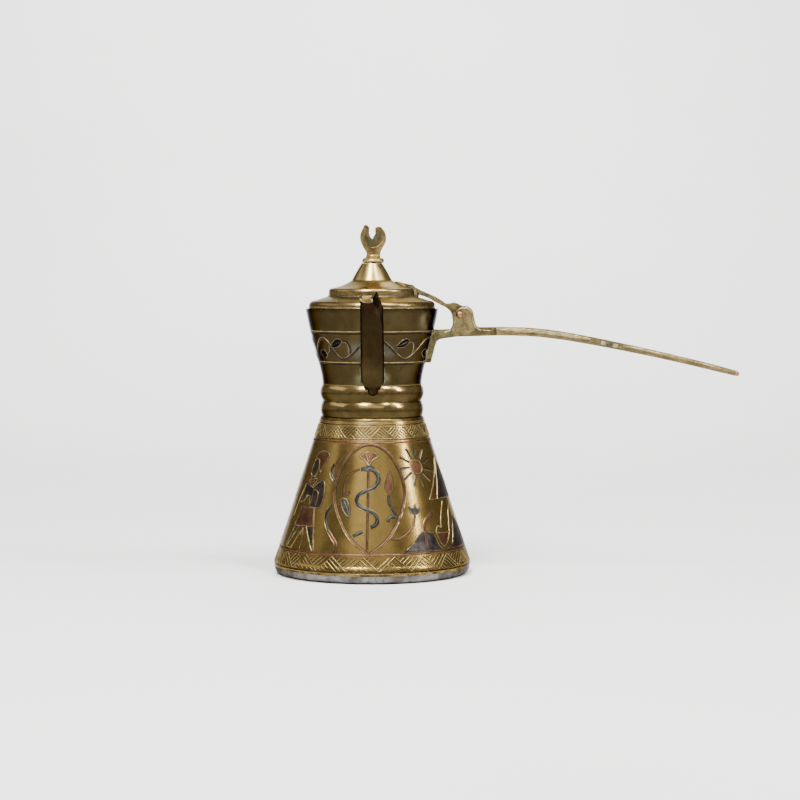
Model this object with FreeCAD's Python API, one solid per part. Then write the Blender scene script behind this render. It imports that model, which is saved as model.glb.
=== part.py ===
"""A long-handled brass coffee pot: a raised body in two sections, a hinged lid with a crescent finial,
an open beak spout and a cast handle bracket whose clevis carries the lid's hinge.

Frame: millimetres, +Z up. The origin is the centre of the flat face that the pot stands on.
+X runs along the handle and the spout points towards -Y. The hinge axis is parallel to Y.
Each piece is written to parts/NAME.step.
"""
import FreeCAD
import Part

import math
import os

from FreeCAD import Placement, Rotation, Vector

# ---- driving dimensions: body ----
WALL = 1.2                  # raised brass sheet
BASE_FLAT_R = 45.4          # the flat that the pot stands on
BASE_EDGE = (48.9, 4.0)     # (radius, height) where the base plate meets the brass wall
CONE_FOOT = (48.25, 8.5)
CONE_TOP = (26.0, 77.5)
LAP_Z = 78.6                # lower edge of the upper section, which slips over the cone's neck
NECK_R = 23.35              # outside of the cone's neck, inside the upper section
NECK_TOP_Z = 93.0
LAP_GAP = 0.05
BEAD_BOTTOM_R = 24.9
LOWER_BEAD = (25.7, 82.4)
BEAD_GROOVE = (24.5, 86.5)
UPPER_BEAD = (25.9, 90.5)
COLLAR_FOOT = (24.7, 94.6)
RIM = (33.1, 132.3)
RIM_SEAT = (31.75, 131.75)  # step inside the rim that the lid rests on
RIM_BORE_R = 30.9
COLLAR_LINE = [COLLAR_FOOT, (25.1, 98.5), (27.0, 106.5), (29.5, 116.0), (31.6, 124.5), RIM]

# ---- engraved lines and let-in copper wires, as heights on the body ----
CONE_LINES_Z = [5.6, 68.7, 75.6]
COLLAR_LINES_Z = [105.3, 120.4]
LINE_WIDTH = 0.7
LINE_DEPTH = 0.3
COPPER_WIRES_Z = [14.0, 67.2]
COPPER_WIDTH = 0.95
COPPER_DEPTH = 0.45
COPPER_PROUD = 0.14

# ---- strainer holes behind the spout ----
STRAINER_R = 1.3
STRAINER_ROWS = [(104.0, [0.0]), (108.5, [-3.0, 3.0]), (113.0, [0.0]), (117.5, [-3.0, 3.0]), (122.0, [0.0])]

# ---- spout ----
SPOUT_WALL = 1.0
# height, reach of the keel in front of the axis, left and right edge of the keel, left and right edge where
# the sides meet the wall, and how square the keel is: the hand-bent beak is drawn in on its right side
SPOUT_STATIONS = [
    (88.0, 28.0, -5.1, 6.1, -5.1, 6.1, 3.8),
    (98.0, 30.2, -5.3, 6.0, -5.3, 6.0, 3.6),
    (110.0, 34.1, -5.5, 5.9, -5.5, 5.9, 3.2),
    (120.0, 38.1, -5.6, 5.6, -5.6, 5.8, 2.9),
    (127.0, 41.6, -5.7, 5.2, -5.7, 5.7, 2.6),
    (131.5, 44.1, -5.7, 4.0, -5.7, 5.5, 2.4),
    (136.5, 47.2, -5.8, 1.1, -5.7, 5.3, 2.2),
    (143.0, 51.4, -5.9, 0.4, -5.7, 5.1, 2.0),
]
SPOUT_KEEL_DEPTH = 3.6
SPOUT_FLANK = 8.6           # how far behind the keel the drawn-in flank meets the straight side
SPOUT_BACK_Y = -12.0
SPOUT_BOTTOM_Z = 94.1
SPOUT_BOTTOM_ROUND = 4.2
LIP_LOW = (-47.4, 135.3)    # (y, z) of the pouring lip
HORN = (-42.0, 141.2)
LIP_BACK = (-33.0, 133.4)
TONGUE_TOP = (3.0, 95.2)    # (radius, height) of the solder tongue under the spout
TONGUE_END = (2.6, 92.5)
TONGUE_CENTRE = (0.5, -25.5)

# ---- lid ----
LID_SEAT_Z = 131.85
LID_R = 31.5
LID_WALL = 1.0
TIER_R = 21.6
BELL_TOP = (5.05, 154.9)
LID_HOLE_R = 1.55
BEZEL_R = 30.0
BEZEL_SEAT_R = 30.35
BEZEL_BOTTOM_Z = 127.0
BEZEL_TOP_Z = 133.4

# ---- finial ----
FINIAL_X = 0.6              # the finial stands a little off the lid's centre
COLLAR_RING_R = 5.5
COLLAR_RING_Z = (154.95, 157.55)
TANG_R = 1.5
TANG_END_Z = 152.3
CRESCENT_TIP_Z = 174.0
CRESCENT_THICK = 4.2
CRESCENT_WEB = 1.2

# ---- strap ----
SOLDER_FILM = 0.3
SOLDER_SPREAD = 0.55
LEAF_THICK = 1.7
LEAF_X = (11.6, 23.4)
LEAF_HALF = 5.4

# ---- hinge and bracket ----
PIN = (43.6, 129.3)         # (x, z) of the hinge axis
PIN_R = 1.25
PIN_HEAD_R = 1.8
BORE_GAP = 0.04
CHEEK_HALF = 4.5            # half the clevis's width
SLOT_HALF = 2.1
KNUCKLE_HALF = 1.95
ARM_HALF = 3.4
FOOT_THICK = 2.75
FOOT_Z = (105.2, 121.8)
FOOT_HALF = 6.1
SLOT_FLOOR_Z = 122.6
SLOT_BACK_X = 49.3
STOP_TOP_Z = 128.8          # the web behind the slot stops the lid at this height

# ---- handle ----
BAR_START_X = 61.7
BAR_ARC_X = 65.0            # where the bar starts to droop
BAR_TOP_Z = 121.0           # centre line there
DROOP_CHANGE_X = 101.0
QUICK_DROOP_R = 200.0
SLOW_DROOP_R = 1000.0
SCARF_X = (113.0, 123.0)
TAIL_END_X = 182.0
TIP_X = 184.2
TIP_R = 1.3
TANG_LENGTH = 9.0
TANG_PEG_R = 1.1
SPLICE_DEPTH = 0.45


# ---- helpers ----
def at(r, z):
    return Vector(r, 0, z)


def points(pairs):
    return [at(r, z) for r, z in pairs]


def line(a, b):
    return Part.makeLine(at(*a), at(*b))


def arc(a, via, b):
    return Part.Arc(at(*a), at(*via), at(*b)).toShape()


def curve(pairs):
    spline = Part.BSplineCurve()
    spline.interpolate(points(pairs))
    return spline.toShape()


def turned(edges, degrees=360):
    """The solid that a closed outline in the XZ plane sweeps about Z."""
    face = Part.Face(Part.Wire(edges))
    return face.revolve(Vector(0, 0, 0), Vector(0, 0, 1), degrees)


def turned_polygon(pairs):
    return turned([line(a, b) for a, b in zip(pairs, pairs[1:] + pairs[:1])])


def slab(edges, half, centre=0.0):
    """An outline in the XZ plane made as thick as 2 * half along Y."""
    face = Part.Face(Part.Wire(edges))
    face.translate(Vector(0, centre - half, 0))
    return face.extrude(Vector(0, 2 * half, 0))


def polygon_slab(pairs, half, centre=0.0):
    return slab([line(a, b) for a, b in zip(pairs, pairs[1:] + pairs[:1])], half, centre)


def disc(r, height, base, direction=Vector(0, 0, 1)):
    return Part.makeCylinder(r, height, base, direction)


def cone_r(z):
    """Radius of the cone's outside at a height."""
    share = (z - CONE_FOOT[1]) / (CONE_TOP[1] - CONE_FOOT[1])
    return CONE_FOOT[0] + share * (CONE_TOP[0] - CONE_FOOT[0])


def collar_r(z):
    """Radius of the upper section's outside at a height, read off its outline."""
    outline = curve(COLLAR_LINE)
    level = Part.makeLine(at(0, z), at(60, z))
    return outline.distToShape(level)[1][0][0].x


def line_groove(r, z):
    """A ring with a V section that cuts one engraved line."""
    half = LINE_WIDTH / 2
    reach = 0.5
    return turned_polygon([(r - LINE_DEPTH, z), (r + reach, z - half * 2.2), (r + reach, z + half * 2.2)])


def copper_section(z):
    """Outline of a let-in wire: square at the back, rounded where it stands proud."""
    slope = math.atan2(CONE_FOOT[0] - CONE_TOP[0], CONE_TOP[1] - CONE_FOOT[1])
    r = cone_r(z)
    half = COPPER_WIDTH / 2

    def place(out, along):
        return (r + out * math.cos(slope) - along * math.sin(slope),
                z + out * math.sin(slope) + along * math.cos(slope))

    back_low, back_high = place(-COPPER_DEPTH, -half), place(-COPPER_DEPTH, half)
    low, top, high = place(0.0, -half), place(COPPER_PROUD, 0.0), place(0.0, half)
    return [line(back_low, low), arc(low, top, high), line(high, back_high), line(back_high, back_low)]


# ---- body ----
def base_plate():
    inner_r = BASE_EDGE[0] - 1.9
    return turned([
        line((0, 0), (BASE_FLAT_R, 0)),
        arc((BASE_FLAT_R, 0), (48.1, 1.3), BASE_EDGE),
        line(BASE_EDGE, (inner_r, BASE_EDGE[1])),
        arc((inner_r, BASE_EDGE[1]), (46.5, 2.3), (BASE_FLAT_R, WALL)),
        line((BASE_FLAT_R, WALL), (0, WALL)),
        line((0, WALL), (0, 0)),
    ])


def base_solder_seam():
    """The fillet of soft solder inside the corner between wall and base."""
    z = BASE_EDGE[1]
    wall_r = BASE_EDGE[0] - WALL - 0.75
    return turned([
        line((wall_r - 1.1, z + 0.02), (wall_r, z + 0.02)),
        line((wall_r, z + 0.02), (wall_r, z + 2.2)),
        arc((wall_r, z + 2.2), (wall_r - 0.45, z + 0.8), (wall_r - 1.1, z + 0.02)),
    ])


def lower_body():
    inner_foot = (CONE_FOOT[0] - WALL - 0.1, CONE_FOOT[1])
    inner_top = (NECK_R - WALL + 0.1, LAP_Z + 2.0)
    edge_r, edge_z = BASE_EDGE
    inner_edge_r = edge_r - WALL - 0.7
    shoulder = (CONE_TOP[0] - 0.5, LAP_Z)
    solid = turned([
        arc((edge_r, edge_z), (49.1, 6.0), CONE_FOOT),
        line(CONE_FOOT, CONE_TOP),
        arc(CONE_TOP, (25.85, 78.1), shoulder),
        line(shoulder, (NECK_R, LAP_Z)),
        line((NECK_R, LAP_Z), (NECK_R, NECK_TOP_Z)),
        line((NECK_R, NECK_TOP_Z), (inner_top[0], NECK_TOP_Z)),
        line((inner_top[0], NECK_TOP_Z), inner_top),
        line(inner_top, inner_foot),
        line(inner_foot, (inner_edge_r, edge_z)),
        line((inner_edge_r, edge_z), (edge_r, edge_z)),
    ])
    for z in CONE_LINES_Z:
        r = cone_r(z) if z > CONE_FOOT[1] else 49.05
        solid = solid.cut(line_groove(r, z))
    for z in COPPER_WIRES_Z:
        solid = solid.cut(turned(copper_section(z)))
    return solid


def copper_border_wires():
    return Part.makeCompound([turned(copper_section(z)) for z in COPPER_WIRES_Z])


def collar_solid_outside():
    """Everything inside the upper section's outer surface, used to fit the spout and the foot to it."""
    return turned([
        line((0, LAP_Z), (BEAD_BOTTOM_R, LAP_Z)),
        arc((BEAD_BOTTOM_R, LAP_Z), LOWER_BEAD, BEAD_GROOVE),
        arc(BEAD_GROOVE, UPPER_BEAD, COLLAR_FOOT),
        curve(COLLAR_LINE),
        line(RIM, (0, RIM[1])),
        line((0, RIM[1]), (0, LAP_Z)),
    ])


def upper_body():
    bore_r = NECK_R + LAP_GAP
    hollow_line = [(r - WALL, z) for r, z in COLLAR_LINE[1:-1]]
    hollow_foot = (bore_r, COLLAR_FOOT[1])
    hollow_rim = (RIM_BORE_R, 127.0)
    seat_r, seat_z = RIM_SEAT
    hollow = turned([
        line((0, LAP_Z - 1), (bore_r, LAP_Z - 1)),
        line((bore_r, LAP_Z - 1), hollow_foot),
        curve([hollow_foot] + hollow_line + [hollow_rim]),
        line(hollow_rim, (RIM_BORE_R, seat_z)),
        line((RIM_BORE_R, seat_z), (seat_r, seat_z)),
        line((seat_r, seat_z), (seat_r, RIM[1] + 1)),
        line((seat_r, RIM[1] + 1), (0, RIM[1] + 1)),
        line((0, RIM[1] + 1), (0, LAP_Z - 1)),
    ])
    solid = collar_solid_outside().cut(hollow)
    for z in COLLAR_LINES_Z:
        solid = solid.cut(line_groove(collar_r(z), z))
    for z, sides in STRAINER_ROWS:
        for x in sides:
            solid = solid.cut(disc(STRAINER_R, 20, Vector(x, -20, z), Vector(0, -1, 0)))
    return solid


# ---- spout ----
def spout_section(inset, z, reach, left, right, back_left, back_right, square):
    """The trough's outline at one height: a rounded keel in front and sides that run back into the wall."""
    centre = (left + right) / 2
    half = (right - left) / 2 - inset
    start = -(reach - SPOUT_KEEL_DEPTH)
    depth = SPOUT_KEEL_DEPTH - inset
    keel = []
    for step in range(13):
        turn = math.pi * step / 12
        across, ahead = math.cos(turn), math.sin(turn)
        x = centre - half * math.copysign(abs(across) ** (2 / square), across)
        keel.append(Vector(x, start - depth * abs(ahead) ** (2 / square), z))
    front = Part.BSplineCurve()
    front.interpolate(keel)
    flank = Vector(back_right - inset, start + SPOUT_FLANK, z)
    back_a = Vector(back_left + inset, SPOUT_BACK_Y, z)
    back_b = Vector(back_right - inset, SPOUT_BACK_Y, z)
    return Part.Wire([
        front.toShape(),
        Part.makeLine(keel[-1], flank),
        Part.makeLine(flank, back_b),
        Part.makeLine(back_b, back_a),
        Part.makeLine(back_a, keel[0]),
    ])


def spout_form(inset):
    """The spout as a filled form, smaller all round by inset."""
    sections = [spout_section(inset, *station) for station in SPOUT_STATIONS]
    form = Part.makeLoft(sections, True, False)
    middle = (SPOUT_STATIONS[1][2] + SPOUT_STATIONS[1][3]) / 2
    half = SPOUT_STATIONS[1][3] - middle - inset
    low = SPOUT_BOTTOM_Z + inset
    corner = SPOUT_BOTTOM_ROUND - inset
    flat = half - corner
    top = SPOUT_STATIONS[-1][0] + 1
    wide = half + 3
    side_z = low + corner
    bend = corner * (1 - math.sqrt(0.5))
    outline = [
        line((-flat, low), (flat, low)),
        arc((flat, low), (half - bend, low + bend), (half, side_z)),
        line((half, side_z), (wide, side_z)),
        line((wide, side_z), (wide, top)),
        line((wide, top), (-wide, top)),
        line((-wide, top), (-wide, side_z)),
        line((-wide, side_z), (-half, side_z)),
        arc((-half, side_z), (-half + bend, low + bend), (-flat, low)),
    ]
    below = slab(outline, 40, -40)
    below.translate(Vector(middle, 0, 0))
    return form.common(below)


def above_lip():
    """What is cut away above the pouring lip: low at the front, two horns, then down to the rim."""
    top = 160.0
    pairs = [LIP_LOW, HORN, LIP_BACK, (-20.0, 131.8), (-20.0, top), (-60.0, top), (-60.0, LIP_LOW[1] - 2.5)]
    edges = [
        Part.Arc(Vector(0, *LIP_LOW), Vector(0, -44.2, 138.0), Vector(0, *HORN)).toShape(),
        Part.Arc(Vector(0, *HORN), Vector(0, -38.0, 137.4), Vector(0, *LIP_BACK)).toShape(),
    ]
    rest = pairs[2:] + pairs[:1]
    edges += [Part.makeLine(Vector(0, *a), Vector(0, *b)) for a, b in zip(rest, rest[1:])]
    face = Part.Face(Part.Wire(edges))
    face.translate(Vector(-15, 0, 0))
    return face.extrude(Vector(30, 0, 0))


def spout():
    rim_r, rim_z = RIM
    trough = spout_form(0).cut(spout_form(SPOUT_WALL)).cut(above_lip())
    keep_out = collar_solid_outside().fuse(disc(rim_r + 0.05, 30, Vector(0, 0, rim_z - 0.01)))
    foot = Vector(*TONGUE_CENTRE, TONGUE_END[1])
    tongue = Part.makeCone(TONGUE_END[0], TONGUE_TOP[0], TONGUE_TOP[1] - TONGUE_END[1], foot)
    tongue = tongue.fuse(Part.makeSphere(TONGUE_END[0], foot))
    hollow = spout_form(SPOUT_WALL)
    solid = trough.fuse(tongue.cut(hollow)).cut(keep_out)
    return biggest(solid.removeSplitter())


def biggest(shape):
    return max(shape.Solids, key=lambda s: s.Volume)


# ---- lid ----
def lid_outline():
    """Outer edges of the lid from its seat to the top of the bell."""
    flange_top = (28.7, 136.3)
    tier_foot = (TIER_R + 0.6, 138.35)
    tier_low = (TIER_R, 138.95)
    tier_high = (TIER_R - 0.05, 140.9)
    shoulder = (19.9, 142.5)
    slope_end = (10.8, 145.8)
    bell_foot = (9.9, 146.45)
    return [
        line((LID_R - 0.1, LID_SEAT_Z), (LID_R, LID_SEAT_Z + 0.9)),
        line((LID_R, LID_SEAT_Z + 0.9), (LID_R, LID_SEAT_Z + 1.2)),
        arc((LID_R, LID_SEAT_Z + 1.2), (30.85, 135.4), flange_top),
        line(flange_top, tier_foot),
        line(tier_foot, tier_low),
        line(tier_low, tier_high),
        arc(tier_high, (21.1, 141.95), shoulder),
        arc(shoulder, (14.6, 143.95), slope_end),
        line(slope_end, bell_foot),
        arc(bell_foot, (7.5, 151.0), BELL_TOP),
    ]


def lid_form():
    """The lid filled solid, used to fit the strap to its outside."""
    edges = lid_outline()
    edges.append(line(BELL_TOP, (0, BELL_TOP[1])))
    edges.append(line((0, BELL_TOP[1]), (0, LID_SEAT_Z)))
    edges.append(line((0, LID_SEAT_Z), (LID_R - 0.1, LID_SEAT_Z)))
    return turned(edges)


def lid_shell():
    inside = [
        (BEZEL_SEAT_R + 0.02, LID_SEAT_Z - 1), (BEZEL_SEAT_R + 0.02, BEZEL_TOP_Z + 0.1), (28.2, 135.3),
        (TIER_R - 1.0, 137.5), (TIER_R - 1.1, 140.7), (19.4, 141.4), (14.4, 142.9), (9.6, 144.9),
        (8.5, 146.6), (6.4, 150.6), (4.2, 153.9), (0, 153.9), (0, LID_SEAT_Z - 1),
    ]
    solid = lid_form().cut(turned_polygon(inside))
    solid = solid.cut(disc(LID_HOLE_R, 5, Vector(FINIAL_X, 0, 152)))
    return solid


def lid_bezel():
    """The inner ring that drops into the mouth and keeps the lid central."""
    ring = turned_polygon([
        (BEZEL_R - 1.0, BEZEL_BOTTOM_Z), (BEZEL_R - 0.3, BEZEL_BOTTOM_Z), (BEZEL_R, BEZEL_BOTTOM_Z + 0.5),
        (BEZEL_R, LID_SEAT_Z + 0.1), (BEZEL_SEAT_R, LID_SEAT_Z + 0.1), (BEZEL_SEAT_R, BEZEL_TOP_Z),
        (BEZEL_R - 1.0, BEZEL_TOP_Z),
    ])
    return ring


# ---- strap ----
def leaf_outline(spread=0.0):
    """Plan of the strap's leaf where it lies on the lid, larger all round by spread."""
    start, end = LEAF_X[0] - spread, LEAF_X[1] - spread / 2
    tip = Vector(start, 0, 0)
    middle = (start + end) / 2 + 1.0
    side = [
        tip,
        Vector(start + 0.8, 2.1 + spread, 0),
        Vector(start + 3.0, 4.2 + spread, 0),
        Vector(middle, LEAF_HALF + spread, 0),
        Vector(end - 1.2, 4.2 + spread, 0),
        Vector(end, 2.4 + spread, 0),
    ]
    upper = Part.BSplineCurve()
    upper.interpolate(side)
    mirrored = Part.BSplineCurve()
    mirrored.interpolate([Vector(p.x, -p.y, 0) for p in side])
    closing = Part.makeLine(side[-1], Vector(end, -side[-1].y, 0))
    wire = Part.Wire([upper.toShape(), closing, mirrored.toShape()])
    return Part.Face(wire)


def lid_strap():
    below = lid_form().copy()
    below.translate(Vector(0, 0, SOLDER_FILM))
    above = lid_form().copy()
    above.translate(Vector(0, 0, LEAF_THICK))
    drape_r = TIER_R + LEAF_THICK
    bigger = turned_polygon([(0, 130), (drape_r, 130), (drape_r, 140.4), (TIER_R - 1, 143.4), (0, 143.4)])
    skin = above.fuse(bigger).cut(below)
    prism = leaf_outline().copy()
    prism.translate(Vector(0, 0, 137))
    leaf = skin.common(prism.extrude(Vector(0, 0, 12)))
    over = [(10.5, 146.2), (16.6, 145.0), (16.6, 150.0), (10.5, 150.0)]
    feather = slab([line(a, b) for a, b in zip(over, over[1:] + over[:1])], LEAF_HALF + 1)
    leaf = leaf.cut(feather)

    x, z = PIN
    eye_r = 3.5
    top = [(17.5, 144.4), (21.0, 143.3), (24.5, 141.45), (29.4, 139.3), (36.2, 135.35)]
    lobe = [(36.2, 135.35), (38.6, 134.85), (40.9, 135.3), (43.6, 134.4), (x + 2.5, z + 3.9)]
    eye_right = (x + eye_r + 0.6, z)
    eye_low = (x, z - eye_r)
    eye_left = (x - eye_r * 0.98, z - 0.6)
    bottom = [eye_left, (37.5, 132.4), (33.1, 134.7), (27.7, 137.7), (22.6, 139.5), (17.5, 143.4)]
    side = [
        curve(top),
        curve(lobe),
        arc(lobe[-1], (x + 3.75, z + 1.9), eye_right),
        arc(eye_right, (x + 2.8, z - 2.6), eye_low),
        arc(eye_low, (x - 2.6, z - 2.45), eye_left),
        curve(bottom),
        line(bottom[-1], top[0]),
    ]
    arm = slab(side, KNUCKLE_HALF)
    arm = arm.cut(below).cut(lid_form())
    strap = leaf.fuse(arm).removeSplitter()
    strap = strap.cut(disc(PIN_R + BORE_GAP, 20, Vector(x, -10, z), Vector(0, 1, 0)))
    return biggest(strap)


def strap_solder():
    """The film of solder under the leaf, squeezed out a little round its edge."""
    above = lid_form().copy()
    above.translate(Vector(0, 0, SOLDER_FILM - 0.02))
    prism = leaf_outline(SOLDER_SPREAD)
    prism.translate(Vector(0, 0, 137))
    return biggest(above.cut(lid_form()).common(prism.extrude(Vector(0, 0, 12))))


# ---- finial ----
def finial_ring():
    low, high = COLLAR_RING_Z
    ring = turned([
        line((LID_HOLE_R, low), (4.3, low)),
        arc((4.3, low), (5.25, low + 0.5), (COLLAR_RING_R, low + 1.3)),
        arc((COLLAR_RING_R, low + 1.3), (5.1, low + 2.05), (4.0, high)),
        line((4.0, high), (LID_HOLE_R, high)),
        line((LID_HOLE_R, high), (LID_HOLE_R, low)),
    ])
    ring.translate(Vector(FINIAL_X, 0, 0))
    return ring


def crescent_finial():
    """Cast crescent that opens upwards, with a recessed web inside its horns and a tang below."""
    low = COLLAR_RING_Z[1]
    half = CRESCENT_THICK / 2
    neck = turned([
        line((0, low), (3.5, low)),
        arc((3.5, low), (3.62, low + 0.7), (3.4, low + 1.4)),
        line((3.4, low + 1.4), (2.6, low + 1.9)),
        line((2.6, low + 1.9), (0, low + 1.9)),
        line((0, low + 1.9), (0, low)),
    ])
    foot_z = low + 0.8
    right_side = [
        (3.4, foot_z), (3.8, 160.5), (4.8, 162.6), (6.1, 165.1), (6.5, 167.5), (6.1, 169.8), (4.8, 171.8),
    ]
    left_side = [
        (-4.9, 172.6), (-6.1, 170.2), (-6.5, 167.6), (-5.9, 164.9),
        (-4.7, 162.4), (-3.6, 160.6), (-3.3, foot_z),
    ]
    right_tip, left_tip = (1.5, 172.7), (-2.4, 173.1)
    outside = [
        line(left_side[-1], right_side[0]),
        curve(right_side),
        arc(right_side[-1], (2.9, CRESCENT_TIP_Z - 0.9), right_tip),
        line(right_tip, left_tip),
        arc(left_tip, (-3.6, CRESCENT_TIP_Z), left_side[0]),
        curve(left_side),
    ]
    form = slab(outside, half)
    rims = [e for e in form.Edges if e.BoundBox.YLength < 1e-6 and e.BoundBox.ZLength > 6]
    form = form.makeFillet(1.2, rims)
    recess = [
        curve([(0, 163.3), (3.2, 165.0), (4.2, 167.6), (3.9, 170.2), (2.2, 176)]),
        line((2.2, 176), (-2.9, 176)),
        curve([(-2.9, 176), (-4.0, 170.4), (-4.3, 167.6), (-3.3, 165.0), (0, 163.3)]),
    ]
    depth = (CRESCENT_THICK - CRESCENT_WEB) / 2
    for side in (-1, 1):
        form = form.cut(slab(recess, depth / 2, side * (half - depth / 2)))
    slot = [
        line((-1.95, 178), (-1.95, 170.2)),
        arc((-1.95, 170.2), (-1.45, 168.2), (-0.3, 166.9)),
        line((-0.3, 166.9), (0.1, 168.1)),
        arc((0.1, 168.1), (0.8, 169.0), (1.0, 170.4)),
        line((1.0, 170.4), (1.1, 178)),
        line((1.1, 178), (-1.95, 178)),
    ]
    form = form.cut(slab(slot, half + 1))
    tang = disc(TANG_R, low - TANG_END_Z, Vector(0, 0, TANG_END_Z))
    finial = biggest(form.fuse(neck).fuse(tang).removeSplitter())
    finial.translate(Vector(FINIAL_X, 0, 0))
    return finial


def finial_burr():
    """Washer inside the bell that the tang is peened over."""
    plate = disc(3.3, 0.8, Vector(FINIAL_X, 0, 153.05))
    return plate.cut(disc(TANG_R + 0.02, 3, Vector(FINIAL_X, 0, 152)))


# ---- hinge bracket ----
def bracket_foot():
    """A shield-shaped pad that fits the upper section's flare."""
    low, high = FOOT_Z
    pad = turned([
        curve(COLLAR_LINE),
        line(RIM, (RIM[0] + FOOT_THICK, RIM[1])),
        curve([(r + FOOT_THICK, z) for r, z in reversed(COLLAR_LINE)]),
        line((COLLAR_FOOT[0] + FOOT_THICK, COLLAR_FOOT[1]), COLLAR_FOOT),
    ])
    top_left, top_right = Vector(20, -FOOT_HALF, high), Vector(20, FOOT_HALF, high)
    waist_left = Vector(20, -FOOT_HALF * 0.86, low + 4.5)
    waist_right = Vector(20, FOOT_HALF * 0.86, low + 4.5)
    sides = Part.Wire([
        Part.makeLine(top_left, top_right),
        Part.makeLine(top_right, waist_right),
        Part.Arc(waist_right, Vector(20, 0, low), waist_left).toShape(),
        Part.makeLine(waist_left, top_left),
    ])
    return pad.common(Part.Face(sides).extrude(Vector(25, 0, 0)))


def bar_centre_z(x):
    """Height of the handle's centre line: nearly level, then a quick droop, then a slow one."""
    if x <= BAR_ARC_X:
        return BAR_TOP_Z - (BAR_ARC_X - x) * 0.02
    quick = min(x, DROOP_CHANGE_X) - BAR_ARC_X
    slow = max(x - DROOP_CHANGE_X, 0)
    slope = quick / QUICK_DROOP_R
    return BAR_TOP_Z - quick ** 2 / (2 * QUICK_DROOP_R) - slope * slow - slow ** 2 / (2 * SLOW_DROOP_R)


def bar_slope_deg(x):
    return math.degrees(math.atan(bar_centre_z(x - 0.5) - bar_centre_z(x + 0.5)))


def handle_bracket():
    x, z = PIN
    end_z = bar_centre_z(BAR_START_X)
    arm_half_z = 2.05
    arm = polygon_slab([
        (30.0, 113.8), (31.6, 113.8), (32.3, 115.9), (33.7, 117.0), (36.4, 117.5), (42.0, 118.3),
        (BAR_START_X, end_z - arm_half_z),
        (BAR_START_X, end_z + arm_half_z), (53.2, 122.95), (40.3, 122.0), (33.4, 121.8), (30.5, 120.6),
    ], ARM_HALF)
    cheeks = slab([
        line((39.6, 118.6), (54.5, 119.0)),
        line((54.5, 119.0), (54.5, 122.9)),
        arc((54.5, 122.9), (52.5, 123.4), (51.6, 125.0)),
        line((51.6, 125.0), (50.6, 129.3)),
        arc((50.6, 129.3), (49.8, 131.8), (47.9, 133.35)),
        arc((47.9, 133.35), (43.9, 133.0), (41.6, 131.2)),
        arc((41.6, 131.2), (40.4, 129.8), (40.15, 127.6)),
        arc((40.15, 127.6), (40.45, 124.5), (39.4, 122.2)),
        line((39.4, 122.2), (39.6, 118.6)),
    ], CHEEK_HALF)
    slot = polygon_slab([
        (36.0, SLOT_FLOOR_Z), (SLOT_BACK_X, SLOT_FLOOR_Z), (SLOT_BACK_X, STOP_TOP_Z),
        (55.0, STOP_TOP_Z), (55.0, 140.0), (36.0, 140.0),
    ], SLOT_HALF)
    peg = disc(TANG_PEG_R, TANG_LENGTH, Vector(BAR_START_X - 0.5, 0, end_z), Vector(1, 0, 0))
    solid = arm.cut(collar_solid_outside()).fuse(bracket_foot()).fuse(cheeks)
    solid = solid.removeSplitter()
    solid = solid.cut(slot).fuse(peg)
    solid = solid.cut(disc(PIN_R, 20, Vector(x, -10, z), Vector(0, 1, 0)))
    return biggest(solid)


def hinge_pin():
    """Copper rivet through both cheeks, with a domed head at each end."""
    x, z = PIN
    head = 1.1
    shank = disc(PIN_R - 0.01, 2 * CHEEK_HALF, Vector(x, -CHEEK_HALF, z), Vector(0, 1, 0))
    pin = shank
    radius = (PIN_HEAD_R ** 2 + head ** 2) / (2 * head)
    for side in (-1, 1):
        ball = Part.makeSphere(radius, Vector(x, side * (CHEEK_HALF + head - radius), z))
        zone = disc(PIN_HEAD_R + 1, 3, Vector(x, side * CHEEK_HALF, z), Vector(0, side, 0))
        pin = pin.fuse(ball.common(zone))
    return pin.removeSplitter()


# ---- handle ----
def bar_section(x, tall, wide, chamfer_z, chamfer_y):
    """Eight-sided outline across the handle at a distance along it."""
    z = bar_centre_z(x)
    ahead = bar_centre_z(x + 0.5) - bar_centre_z(x - 0.5)
    tilt = math.atan(ahead)
    corners = []
    for sy, sz, first in [(-1, -1, True), (-1, 1, False), (1, 1, True), (1, -1, False)]:
        side = (sy * wide / 2, sz * (tall / 2 - chamfer_z))
        end = (sy * (wide / 2 - chamfer_y), sz * tall / 2)
        corners += [end, side] if first else [side, end]
    placed = [Vector(x - dz * math.sin(tilt), y, z + dz * math.cos(tilt)) for y, dz in corners]
    return Part.makePolygon(placed + placed[:1])


def handle_form(stations):
    return Part.makeLoft([bar_section(*s) for s in stations], True, False)


def scarf_half(front):
    """Half space on one side of the scarf that joins the bar and the tail."""
    near, far = SCARF_X
    y = 12.0
    slope = (far - near) / 8.0
    x_at = [near + slope * (side * y + 4.0) for side in (-1, 1)]
    limit = BAR_START_X if front else 260.0
    base = Part.makePolygon([
        Vector(x_at[0], -y, 80), Vector(x_at[1], y, 80), Vector(limit, y, 80), Vector(limit, -y, 80),
        Vector(x_at[0], -y, 80),
    ])
    return Part.Face(base).extrude(Vector(0, 0, 60))


def splice_pocket():
    """The shallow seat for the solder patch on the handle's near side."""
    near, far = SCARF_X
    x = (near + far) / 2 + 0.6
    z = bar_centre_z(x)
    block = Part.makeBox(8.6, 1.6, 2.0, Vector(-4.3, -0.8, -1.0))
    slope = Rotation(Vector(0, 1, 0), bar_slope_deg(x))
    block.Placement = Placement(Vector(x, -2.95 - 0.8 + SPLICE_DEPTH, z), slope)
    return block


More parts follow.
